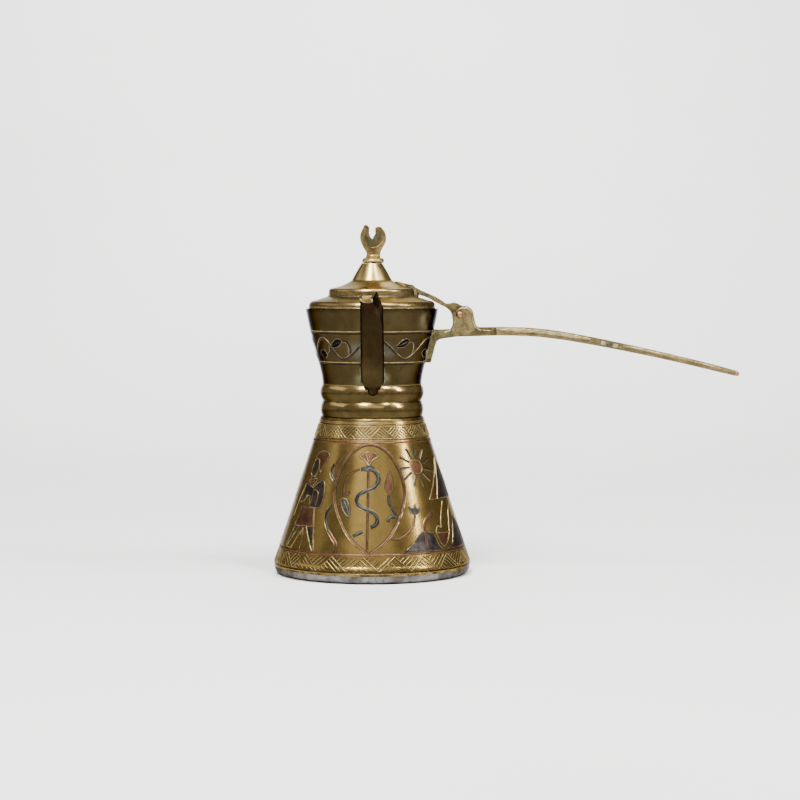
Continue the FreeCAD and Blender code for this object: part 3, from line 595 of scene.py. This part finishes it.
TIN = metal(
    "tinned_base", (0.21, 0.205, 0.19), (0.075, 0.07, 0.067), (0.03, 0.024, 0.018),
    rough=(0.36, 0.58), grain=110.0, stained=0.85, bump=0.6, tint=0.4,
    patches=(
        # Darker brown at both ends of the base plate: painted shade.
        near((-43.0, -22.0, 2.0), 6.0, 20.0, (0.05, 0.034, 0.018), 0.85),
        near((43.0, -24.0, 2.0), 4.0, 16.0, (0.05, 0.034, 0.018), 0.8),
        near((12.0, -45.0, 2.5), 1.0, 7.0, (0.06, 0.045, 0.03), 0.7),
    ))
SOLDER = metal(
    "soft_solder", (0.16, 0.155, 0.105), (0.08, 0.083, 0.052), (0.035, 0.03, 0.018),
    rough=(0.4, 0.55), grain=260.0, stained=0.7, bump=0.6, tint=0.4)

FINISH = {
    "base_plate": TIN, "base_solder_seam": SOLDER, "lower_body": BODY, "copper_border_wires": COPPER,
    "upper_body": COLLAR_METAL, "spout": SPOUT_METAL, "handle_bracket": HINGE, "hinge_pin": PALE_COPPER,
    "handle_bar": HANDLE, "splice_solder": SPLICE, "handle_tail": HANDLE, "handle_tip": PALE_COPPER,
    "lid_shell": LID, "lid_bezel": LID, "lid_strap": HINGE, "strap_solder": SOLDER,
    "finial_ring": FINIAL, "crescent_finial": FINIAL, "finial_burr": FINIAL,
}
for node, finish in FINISH.items():
    for slot in NODES[node].material_slots:
        slot.material = finish


# ---------------------------------------------------------------- frieze on the cone
class Frieze:
    """The inlaid scenes between the two copper wires, drawn once for each side of the pot."""

    def __init__(self):
        self.copper = Piece("frieze_copper")
        self.wire = Piece("frieze_copper_wire")
        self.silver = Piece("frieze_silver")
        self.niello = Piece("frieze_dark_silver")
        self.hill = Piece("frieze_grey_silver")
        self.bright = Piece("frieze_bright_lines")
        self.dark = Piece("frieze_dark_lines")
        self.turn = 0.0
        self.seed = 1

    def place(self, points):
        return [(a + self.turn, z) for a, z in points]

    def shape(self, kind, outline, round_corners=True, lit=0.42, height=0.08, dark=True):
        """A flat inlay with a bright cut line round it and a darker groove outside that."""
        maker = smooth_path if round_corners else straight_path
        path = maker(self.place(outline), 0.8, closed=True)
        kind.patch(CONE, path, height)
        self.seed += 1
        if dark:
            self.dark.strip(CONE, path, lit * 0.7 + 0.6, 0.05, closed=True, flat=True, wobble=0.2, seed=self.seed)
        self.bright.strip(CONE, path, lit * 0.7, height + 0.10, closed=True, wobble=0.35, seed=self.seed)

    def line(self, kind, points, width, round_corners=True, height=0.22, groove=0.6, taper=0.5):
        """An inlaid wire in a darker groove."""
        path = (smooth_path if round_corners else straight_path)(self.place(points), 0.8)
        self.seed += 1
        if groove:
            self.dark.strip(CONE, path, width + groove, 0.05, flat=True, wobble=0.15, seed=self.seed)
        kind.strip(CONE, path, width, height, taper=taper, wobble=0.15, seed=self.seed)

    def edge(self, points, shift, width=0.36, height=0.2):
        """A bright cut line beside a wire."""
        self.seed += 1
        self.bright.strip(CONE, smooth_path(self.place(points), 0.8), width * 0.85, height, shift=shift, taper=0.6,
                          wobble=0.3, seed=self.seed)

    def cartouche(self):
        half = [(0, 66.4), (6, 65.9), (11.5, 64.4), (18, 61.6), (23.7, 56), (26.8, 50), (27.5, 44), (25.8, 38.5), (21.5, 32),
                (14, 23.5), (7.3, 18.4), (0, 14.3)]
        for side in (-1, 1):
            points = [(-2 + side * a, z) for a, z in half]
            path = smooth_path(self.place(points), 0.8)
            self.dark.strip(CONE, path, 1.9, 0.05, flat=True, wobble=0.12, seed=3)
            self.wire.strip(CONE, path, 0.95, 0.3, wobble=0.22, seed=4)
            self.bright.strip(CONE, path, 0.3, 0.2, shift=-0.62 * side, wobble=0.3, seed=5)
        self.shape(self.copper, [(-10.4, 60.5), (-8.8, 61.9), (-6, 62.7), (-2.6, 63), (1, 62.7), (3.6, 61.9), (5.2, 60.6),
                                 (1, 59.2), (-2.6, 56.6), (-6.2, 59)], lit=0.5)
        for x0, x1 in ((-5.2, -3.2), (-2.4, -2.6), (0.6, -2.0)):
            self.bright.strip(CONE, self.place([(x0, 61.8), (x1, 58.2)]), 0.25, 0.18)
        self.line(self.wire, [(-3.2, 55), (-3.1, 40), (-3.2, 16.5)], 0.85, taper=0.0, groove=0.5)
        body = [(-9.2, 54.6), (-2.4, 55), (3.1, 53.2), (5.2, 50.2), (3.5, 47.1), (-1.2, 45.1), (-6.2, 43.9), (-10.2, 42.2),
                (-11.4, 39.5), (-8.7, 37), (-3, 35.2), (1.7, 33.3), (3.5, 30.5), (2.1, 28.2), (-1, 27.1)]
        self.line(self.silver, body, 1.4, height=0.3, groove=0.9, taper=0.75)
        self.edge(body, -0.95)
        self.edge(body[1:-1], 0.95, 0.28)
        self.shape(self.silver, [(-9, 54.5), (-5.5, 55.6), (-2.2, 56.6), (0.6, 55.6), (2.4, 54.2), (-2, 53.9), (-6, 54.0)],
                   height=0.2, lit=0.3)
        self.line(self.silver, [(-12.5, 22.9), (-6.2, 25.2)], 1.3, taper=0.7)
        self.line(self.wire, [(-10.3, 54.6), (-14.7, 53.6), (-19, 51.3), (-21.7, 48), (-22.1, 45), (-21.6, 42.4)], 0.8)
        leaf = [(-23.4, 40.4), (-19.5, 40.4), (-17.3, 38), (-15.7, 34.5), (-16.3, 32), (-19, 33.5), (-21.8, 36.3)]
        self.shape(self.silver, leaf, lit=0.45)
        self.bright.strip(CONE, self.place([(-21.2, 39.6), (-18.6, 37.0), (-16.6, 33.4)]), 0.22, 0.18)
        dot = [(-18.2 + 1.2 * math.cos(t * math.pi / 4), 43.1 + 0.8 * math.sin(t * math.pi / 4)) for t in range(8)]
        self.shape(self.copper, dot, lit=0.2)
        bud = [(14.3, 53.4), (12, 50.5), (10.3, 47.3), (10.4, 45.2), (12.9, 43.1), (15.9, 45), (16.5, 47.8), (15.8, 50.8)]
        self.shape(self.copper, bud, lit=0.32)
        self.line(self.silver, [(12.5, 42.3), (12.4, 38.2), (14.5, 35), (17.6, 31.7)], 1.0)
        self.edge([(12.5, 42.3), (12.4, 38.2), (14.5, 35), (17.6, 31.7)], 0.75, 0.28)
        self.line(self.silver, [(17.6, 31.7), (14, 31.9), (11.5, 31.3), (10.5, 29.6)], 1.0)

    def tendrils(self):
        for points in ([(-34.3, 56.7), (-35.8, 54.1), (-35, 51.3), (-31, 48.8)],
                       [(-30.2, 37.1), (-33.1, 33.9), (-33.2, 30.1), (-29.8, 25.2)]):
            self.line(self.silver, points, 1.05)
            self.edge(points, 0.8)
        self.line(self.copper, [(-29.8, 25.2), (-25.6, 21.6), (-23, 18.9), (-23.1, 14.8)], 1.5)
        self.edge([(-29.8, 25.2), (-25.6, 21.6), (-23, 18.9), (-23.1, 14.8)], 0.9)
        self.line(self.wire, [(-25, 63), (-32, 57.5), (-31, 49)], 0.5, groove=0.25, height=0.12)
        self.line(self.wire, [(11.7, 21.7), (17, 21.6), (22.6, 23.6), (27.1, 26.5), (29.8, 30.2), (30.6, 32.6)], 0.85)
        self.edge([(11.7, 21.7), (17, 21.6), (22.6, 23.6), (27.1, 26.5), (29.8, 30.2), (30.6, 32.6)], 0.62, 0.26)
        flower = [(30.2, 32.4), (28, 34), (26.8, 36.6), (29.2, 35.6), (30.6, 35.6), (32.6, 37.8), (33, 35.6), (36.8, 34.9),
                  (34, 33.2), (32, 32.4)]
        self.shape(self.silver, flower, round_corners=False, lit=0.32)

    def sun(self):
        a0, z0 = 41.1, 55.2
        per_mm = math.degrees(1.0 / CONE.r(z0))

        def around(radius, degrees):
            t = math.radians(degrees)
            return (a0 + per_mm * radius * math.sin(t), z0 + radius * math.cos(t) * 0.95)

        self.shape(self.copper, [around(3.5, 30 * k) for k in range(12)], lit=0.5)
        for k in range(11):
            turn = 5 + k * 360 / 11
            ray = [around(4.6, turn), around(10.6, turn)]
            self.line(self.silver, straight_path(ray, 0.8), 0.85, round_corners=False, groove=0.45, taper=0.4)
            self.edge(ray, 0.62, 0.28)

    def desert(self):
        self.shape(self.copper, [(46.8, 39), (55.9, 39.1), (73, 58.6)], round_corners=False, lit=0.5)
        self.shape(self.niello, [(56.7, 39.1), (99, 39), (73.8, 58.6)], round_corners=False, lit=0.4)
        self.shape(self.hill, [(19.4, 14.8), (25.3, 18.5), (33.5, 23.8), (38, 24.3), (43.3, 23.2), (46.6, 17), (49, 15)],
                   round_corners=False, lit=0.3)
        self.shape(self.niello, [(52, 15), (60, 16.5), (64, 21), (70, 27), (76, 29.5), (84, 24), (92, 15)],
                   round_corners=False, lit=0.3)
        self.line(self.copper, [(36.7, 15.5), (37.1, 23.6), (37.3, 27.4), (40.2, 30.4), (46.2, 32.5)], 1.0)
        self.edge([(36.7, 15.5), (37.1, 23.6), (37.3, 27.4), (40.2, 30.4), (46.2, 32.5)], -0.8, 0.3)
        self.shape(self.copper, [(46, 23.7), (50.9, 22.8), (60.5, 22.7), (55.8, 18.6), (51, 16.3), (48.5, 18)],
                   round_corners=False, lit=0.36)
        self.edge([(52.3, 25.2), (54.7, 30.2), (62.4, 37.5)], 0.0, 0.4)
        self.edge([(46, 23.7), (49, 26.4), (52.3, 25.2)], 0.0, 0.35)
        self.edge([(60.5, 22.7), (64, 28), (70, 34), (80, 38)], 0.0, 0.35)

    def figure(self):
        """A walking figure in the old Egyptian manner, with a plain oval for a head."""
        crown = [(-59.4, 59.1), (-57, 61.4), (-51, 62.6), (-45, 62.5), (-41.5, 61), (-43.5, 58), (-46, 55.5), (-48, 52.3),
                 (-51.5, 55), (-52.5, 58)]
        self.shape(self.copper, crown, round_corners=False, lit=0.42)
        head = [(-56 + 4.6 * math.cos(k * math.pi / 6), 54.2 + 4.6 * math.sin(k * math.pi / 6)) for k in range(12)]
        self.shape(self.niello, head, lit=0.34)
        self.shape(self.niello, [(-58, 50.2), (-53.5, 50.2), (-52.6, 47.6), (-59, 47.2)], round_corners=False, lit=0.28)
        self.shape(self.copper, [(-61, 48), (-50, 49.3), (-50.2, 47.5), (-54.5, 45)], round_corners=False, lit=0.34)
        torso = [(-63.2, 46.5), (-52.3, 44.6), (-47, 47.5), (-42.2, 48.8), (-40, 46.9), (-38.8, 41.2), (-40.2, 35.6),
                 (-45, 35.4), (-51.4, 35.6), (-53, 40.6), (-57, 41), (-60, 38), (-64, 37)]
        self.shape(self.niello, torso, round_corners=False, lit=0.46)
        self.edge([(-52.2, 44.2), (-45.2, 42.6), (-45.0, 36.2)], 0.0, 0.42)
        self.edge([(-50.8, 43.6), (-50.6, 36.4)], 0.0, 0.36)
        self.shape(self.copper, [(-60.5, 35), (-45.6, 35.1), (-43.2, 26.6), (-63.4, 25.9)], round_corners=False, lit=0.42)
        self.shape(self.niello, [(-62, 25.9), (-57.5, 25.9), (-66, 16), (-68, 16.5)], round_corners=False, lit=0.36)
        self.shape(self.niello, [(-49, 26), (-42.5, 26.6), (-39.3, 14.8), (-41.5, 17)], round_corners=False, lit=0.36)
        for points in ([(-45.7, 35.3), (-42.3, 27.1), (-38.3, 14.9)], [(-51.4, 25.3), (-56.8, 20.2), (-60.4, 15.2)],
                       [(-60.4, 15.2), (-66, 15.4), (-68, 16.5)], [(-52, 25.2), (-50.6, 20), (-50.8, 15.2)],
                       [(-64, 46), (-68, 38), (-70, 30)]):
            self.edge(points, 0.0, 0.45)

    def done(self):
        self.copper.done(COPPER, slot="copper")
        self.wire.done(COPPER, slot="copper")
        self.silver.done(SILVER, slot="silver_inlay")
        self.niello.done(NIELLO, slot="silver_inlay")
        self.hill.done(GREY_SILVER, slot="silver_inlay")
        self.bright.done(BRIGHT, slot="chased_line")
        self.dark.done(DARK, slot="dark_groove")


frieze = Frieze()
for turn in (0.0, 180.0):
    frieze.turn = turn
    frieze.cartouche()
    frieze.tendrils()
    frieze.sun()
    frieze.desert()
    frieze.figure()
frieze.done()


# ---------------------------------------------------------------- hatched bands
def hatched_band(name, low, high, periods, phase, seed):
    """A zigzag whose triangles are filled with lines parallel to their right-hand sides."""
    rng = random.Random(seed)
    cuts, grooves = Piece(name + "_cuts"), Piece(name + "_grooves")
    period = 360.0 / periods
    tall = high - low

    def cut(a, b, width=0.32):
        worn = rng.random()
        if worn < 0.10:
            b = (a[0] + (b[0] - a[0]) * 0.6, a[1] + (b[1] - a[1]) * 0.6)
        path = straight_path([a, b], 1.0)
        grooves.strip(CONE, path, width + 0.5, 0.04, flat=True, shift=0.16)
        cuts.strip(CONE, path, width * rng.uniform(0.75, 1.1), 0.16, taper=0.5)

    lines = 6
    for k in range(periods):
        start = phase + k * period + rng.uniform(-0.3, 0.3)
        cut((start, low), (start + period / 2, high), 0.42)
        cut((start + period / 2, high), (start + period, low), 0.42)
        for n in range(1, lines):
            t = n / lines + rng.uniform(-0.012, 0.012)
            cut((start + t * period / 2, low + t * tall), (start + t * period, low + 0.1))
            cut((start + (t - 1) * period / 2, high - t * tall), (start - period / 2 + t * period, high - 0.1))
    cuts.done(BRIGHT, slot="chased_line")
    grooves.done(OLIVE_LINE, slot="dark_groove")


hatched_band("upper_band", 69.3, 74.9, 15, -2.2, 11)
hatched_band("lower_band", 6.3, 13.1, 19, 4.0, 12)

border_cuts = Piece("border_cuts")
for n, z in enumerate((5.1, 69.2, 75.15, 76.3, 77.0)):
    border_cuts.strip(CONE, ring_path(z), 0.3, 0.1, closed=True, wobble=0.3, seed=20 + n)
border_cuts.done(BRIGHT, slot="chased_line")


# ---------------------------------------------------------------- vine on the collar
vine, vine_cuts, vine_borders = Piece("vine_grooves"), Piece("vine_cuts"), Piece("vine_borders")
vine_leaves = Piece("vine_leaves")


def vine_line(points, width=1.25, closed=False, side=-1):
    vine.strip(COLLAR, points, width, 0.07, flat=True, closed=closed, wobble=0.12, seed=31)
    vine_cuts.strip(COLLAR, points, 0.36, 0.2, shift=side * (width / 2 + 0.02), closed=closed, wobble=0.3, seed=32)


def vine_leaf(stalk, tip):
    """A pointed leaf with a vein, from its stalk end to its tip, with a dark edge and a thin bright line."""
    across = [(0.0, 0.0), (0.10, 1.0), (0.30, 2.0), (0.52, 2.05), (0.78, 1.2), (1.0, 0.0), (0.80, -0.95), (0.55, -1.65),
              (0.30, -1.8), (0.12, -1.1)]
    outline = [(stalk[0] + t * (tip[0] - stalk[0]), stalk[1] + t * (tip[1] - stalk[1]) + h) for t, h in across]
    points = smooth_path(outline, 0.6, closed=True)
    vine_leaves.patch(COLLAR, points, 0.12, step=1.0)
    vine.strip(COLLAR, points, 0.8, 0.08, flat=True, closed=True, wobble=0.2, seed=36)
    vine_cuts.strip(COLLAR, points, 0.3, 0.2, closed=True, wobble=0.4, seed=33)
    vein = [(stalk[0] + t * (tip[0] - stalk[0]), stalk[1] + t * (tip[1] - stalk[1])) for t in (0.15, 0.35, 0.6, 0.85)]
    vine_cuts.strip(COLLAR, smooth_path(vein), 0.16, 0.15)


TURNS = [(-54.0, 118.0), (-31.6, 107.8), (2.5, 118.0), (36.6, 107.8), (70.0, 118.0), (99.5, 107.8), (129.0, 118.0),
         (158.5, 107.8), (188.0, 118.0), (217.5, 107.8), (247.0, 118.0), (276.5, 107.8), (306.0, 118.0)]
wave = []
for (a, z), (b, y) in zip(TURNS, TURNS[1:]):
    for k in range(16):
        wave.append((a + (b - a) * k / 16, (z + y) / 2 + (z - y) / 2 * math.cos(math.pi * k / 16)))
vine_line(wave, closed=True)
for at, z in TURNS[1:]:
    if z < 110:
        vine_line(smooth_path([(at + 9.3, 110.6), (at + 9.6, 113.6), (at + 7.0, 116.4), (at + 1.6, 117.0)], 0.8), side=-1)
        vine_leaf((at + 1.8, 116.9), (at - 13.0, 114.0))
    elif at != 2.5:
        vine_line(smooth_path([(at + 8.6, 115.0), (at + 8.6, 112.4), (at + 5.5, 110.2), (at + 2.5, 109.9)], 0.8), side=1)
        vine_leaf((at + 2.5, 110.0), (at - 9.5, 110.9))
for z in (121.5, 106.3):
    vine_borders.strip(COLLAR, ring_path(z), 0.5, 0.2, closed=True, wobble=0.2, seed=34)
    vine.strip(COLLAR, ring_path(z - 0.75), 0.8, 0.05, closed=True, flat=True, wobble=0.25, seed=35)
vine.done(DARK, slot="dark_groove")
vine_cuts.done(WORN_CUT, slot="chased_line")
vine_borders.done(BRIGHT, slot="chased_line")
vine_leaves.done(BLACKENED, slot="silver_inlay")


# ---------------------------------------------------------------- solder at the joints
joints = Piece("joint_solder")
for side in (-1, 1):
    for low, high in ((95.8, 104.5), (109.5, 116.5)):
        beside_spout = []
        for step in range(int((high - low) / 0.5) + 1):
            z = low + step * 0.5
            edge = 5.85 + side * 0.3 * (120.0 - z) / 24.0
            beside_spout.append((side * math.degrees(math.asin(edge / COLLAR.r(z))), z))
        joints.strip(COLLAR, beside_spout, 0.8, 0.26, taper=0.8, wobble=0.6, seed=int(41 + side + low))
    beside_foot = []
    for step in range(17):
        z = 105.8 + step
        half = 6.2 if z > 109.7 else 5.5 * math.sqrt(max(0.0, 1 - ((109.7 - z) / 4.6) ** 2)) + 0.2
        beside_foot.append((90 + side * math.degrees(math.asin(half / COLLAR.r(z))), z))
    joints.strip(COLLAR, beside_foot, 1.3, 0.5, wobble=0.45, seed=43 + side)
joints.done(SOLDER, slot="soft_solder")

CHEEK = Front(["handle_bracket"], -1)
CHEEK_BACK = Front(["handle_bracket"], 1)
HORNS = Front(["crescent_finial"], -1)
HORNS_BACK = Front(["crescent_finial"], 1)
cheek_ridge, horn_ridge = Piece("cheek_ridge"), Piece("horn_ridge")
for n, (cheek, horns) in enumerate(((CHEEK, HORNS), (CHEEK_BACK, HORNS_BACK))):
    edge_line = [(41.9, 130.6), (43.2, 131.9), (45.0, 132.6), (47.0, 132.7), (48.6, 132.1), (49.6, 130.6), (50.0, 128.4),
                 (50.4, 126.0), (51.1, 124.0), (52.3, 122.6), (53.8, 121.8), (57.0, 121.4), (60.2, 121.4)]
    cheek_ridge.strip(cheek, smooth_path(edge_line, 0.6), 0.75, 0.3, taper=0.7, wobble=0.4, seed=61 + n)
    lower_line = [(41.0, 128.6), (41.2, 126.0), (41.0, 124.0), (40.4, 122.6), (38.6, 121.2), (35.6, 120.6)]
    cheek_ridge.strip(cheek, smooth_path(lower_line, 0.6), 0.6, 0.22, taper=0.7, wobble=0.5, seed=63 + n)
    horn_line = [(-3.9, 171.4), (-4.5, 169.3), (-4.4, 166.9), (-3.2, 164.6), (-1.0, 162.9), (0.8, 162.4), (2.8, 163.2),
                 (4.6, 164.9), (5.6, 167.2), (5.6, 169.4), (4.6, 171.6)]
    horn_ridge.strip(horns, smooth_path(horn_line, 0.5), 0.9, 0.36, taper=0.6, wobble=0.45, seed=65 + n)
cheek_ridge.done(RIDGE, slot="hinge_brass")
horn_ridge.done(FINIAL, body="lid", slot="finial_brass")


def bar_edge(front, first, last, inset):
    """Points a millimetre apart, inset from a bar's upper edge, or from its lower one if inset is below 0."""
    path = []
    for x in range(first, last):
        heights = [z / 5 for z in range(5 * 85, 5 * 125) if front.cast(x, z / 5)]
        edge = max(heights) if inset > 0 else min(heights)
        path.append((x, edge - inset))
    return path


bar_ridge, bar_shade = Piece("handle_ridge"), Piece("handle_shade")
for side in (-1, 1):
    bar = Front(["handle_bar", "handle_tail"], side)
    bar_ridge.strip(bar, bar_edge(bar, 64, 110, 1.3), 1.5, 0.16, taper=0.5, wobble=0.5, seed=70 + side)
    bar_ridge.strip(bar, bar_edge(bar, 127, 176, 1.0), 0.9, 0.14, taper=0.5, wobble=0.6, seed=73 + side)
    # A darker strip along the lower edge of the bar: painted shade.
    bar_shade.strip(bar, bar_edge(bar, 66, 150, -1.3), 1.1, 0.12, taper=0.6, wobble=0.35, seed=76 + side)
bar_ridge.done(RIDGE, slot="handle_brass")
bar_shade.done(SHADE, slot="handle_brass")

# A bright line round the lid's lower edge: painted highlight on the edge.
lid_lines = Piece("lid_edge_line")
lid_lines.strip(LID_TOP, ring_path(132.75), 0.45, 0.1, closed=True, wobble=0.15, seed=51)
lid_lines.done(BRIGHT, body="lid", slot="chased_line")
tier_dirt = Piece("lid_tier_dirt")
tier_dirt.strip(LID_TOP, ring_path(138.6), 0.45, 0.07, closed=True, wobble=0.7, seed=52)
tier_dirt.done(SOLDER, body="lid", slot="soft_solder")


# ---------------------------------------------------------------- floor, lights and camera
def flat_material(name, colour, rough):
    g = Graph(name)
    g.link(g.mix(g.span(g.noise(4.0, 2.0), 0.3, 0.7), colour, tuple(c * 0.97 for c in colour)),
           g.shader.inputs["Base Color"])
    g.shader.inputs["Roughness"].default_value = rough
    g.shader.inputs["Specular IOR Level"].default_value = 0.1
    return g.material


def staged_sheet(name, corners, faces, material):
    mesh = bpy.data.meshes.new(name)
    mesh.from_pydata(corners, [], faces)
    mesh.materials.append(material)
    mesh.shade_smooth()
    made = bpy.data.objects.new(name, mesh)
    bpy.context.scene.collection.objects.link(made)


PALE = flat_material("pale_sheet", (0.88, 0.88, 0.87), 0.9)
EDGE, WIDE, START = 6.0, 0.8, 0.9
sweep = [(START + 0.9 * math.sin(t * math.pi / 32), 0.9 * (1 - math.cos(t * math.pi / 32))) for t in range(17)]
sweep.append((START + 0.9, 2.6))
corners = [(x, y, z) for y, z in sweep for x in (-WIDE, WIDE)]
faces = [(2 * k, 2 * k + 1, 2 * k + 3, 2 * k + 2) for k in range(len(sweep) - 1)]
more = len(corners)
corners += [(-EDGE, -EDGE, 0), (-WIDE, -EDGE, 0), (WIDE, -EDGE, 0), (EDGE, -EDGE, 0), (-EDGE, START, 0), (EDGE, START, 0),
            (-EDGE, EDGE, 0), (-WIDE, EDGE, 0), (WIDE, EDGE, 0), (EDGE, EDGE, 0)]
faces += [(more, more + 1, 0, more + 4), (more + 1, more + 2, 1, 0), (more + 2, more + 3, more + 5, 1),
          (more + 4, 0, more + 7, more + 6), (1, more + 5, more + 9, more + 8)]
staged_sheet("sheet", corners, faces, PALE)

world = bpy.data.worlds.new("studio")
bpy.context.scene.world = world
world.use_nodes = True
world.node_tree.nodes["Background"].inputs["Color"].default_value = (1.0, 0.98, 0.95, 1.0)
world.node_tree.nodes["Background"].inputs["Strength"].default_value = 0.24


def softbox(name, azimuth, elevation, distance, width, tall, power):
    """A rectangular light that faces the pot. Azimuth is 0 at the camera and grows towards the handle."""
    a, e = math.radians(azimuth), math.radians(elevation)
    aim = Vector((0.0, 0.0, 0.09))
    place = aim + distance * Vector((math.sin(a) * math.cos(e), -math.cos(a) * math.cos(e), math.sin(e)))
    light = bpy.data.lights.new(name, "AREA")
    light.shape = "RECTANGLE"
    light.size, light.size_y = width, tall
    light.energy = power
    made = bpy.data.objects.new(name, light)
    bpy.context.scene.collection.objects.link(made)
    made.location = place
    made.rotation_euler = (aim - place).to_track_quat("-Z", "Y").to_euler()
    made.visible_camera = False


softbox("key_left", -22.0, 58.0, 1.3, 0.32, 0.78, 39.0)
softbox("high_right", 42.0, 59.0, 1.3, 0.13, 0.70, 16.0)
softbox("key_right", 67.0, 34.0, 1.3, 0.08, 0.62, 8.5)
softbox("left_fill", -95.0, 32.0, 1.6, 1.30, 0.60, 3.0)
softbox("front_fill", -2.0, 31.0, 1.7, 1.7, 0.5, 2.3)
softbox("overhead", 0.0, 88.0, 1.6, 0.8, 0.8, 4.0)
softbox("back_fill", 170.0, 45.0, 1.6, 0.6, 0.6, 5.0)

wall_light = bpy.data.lights.new("wall", "AREA")
wall_light.shape = "RECTANGLE"
wall_light.size, wall_light.size_y = 1.4, 0.4
wall_light.energy = 34.0
wall = bpy.data.objects.new("wall", wall_light)
bpy.context.scene.collection.objects.link(wall)
wall.location = (0.0, 0.9, 1.2)
wall.rotation_euler = Vector((0.0, 0.9, -0.7)).to_track_quat("-Z", "Y").to_euler()
wall.visible_camera = False

camera_data = bpy.data.cameras.new("camera")
camera_data.lens = 103.5
camera_data.sensor_width = 36.0
camera_data.clip_end = 50.0
camera = bpy.data.objects.new("camera", camera_data)
bpy.context.scene.collection.objects.link(camera)
camera.location = (0.0, -1.150, 0.154)
target = Vector((0.014, 0.0, 0.0865))
camera.rotation_euler = (target - camera.location).to_track_quat("-Z", "Y").to_euler()
bpy.context.scene.camera = camera

low, high = cad_box
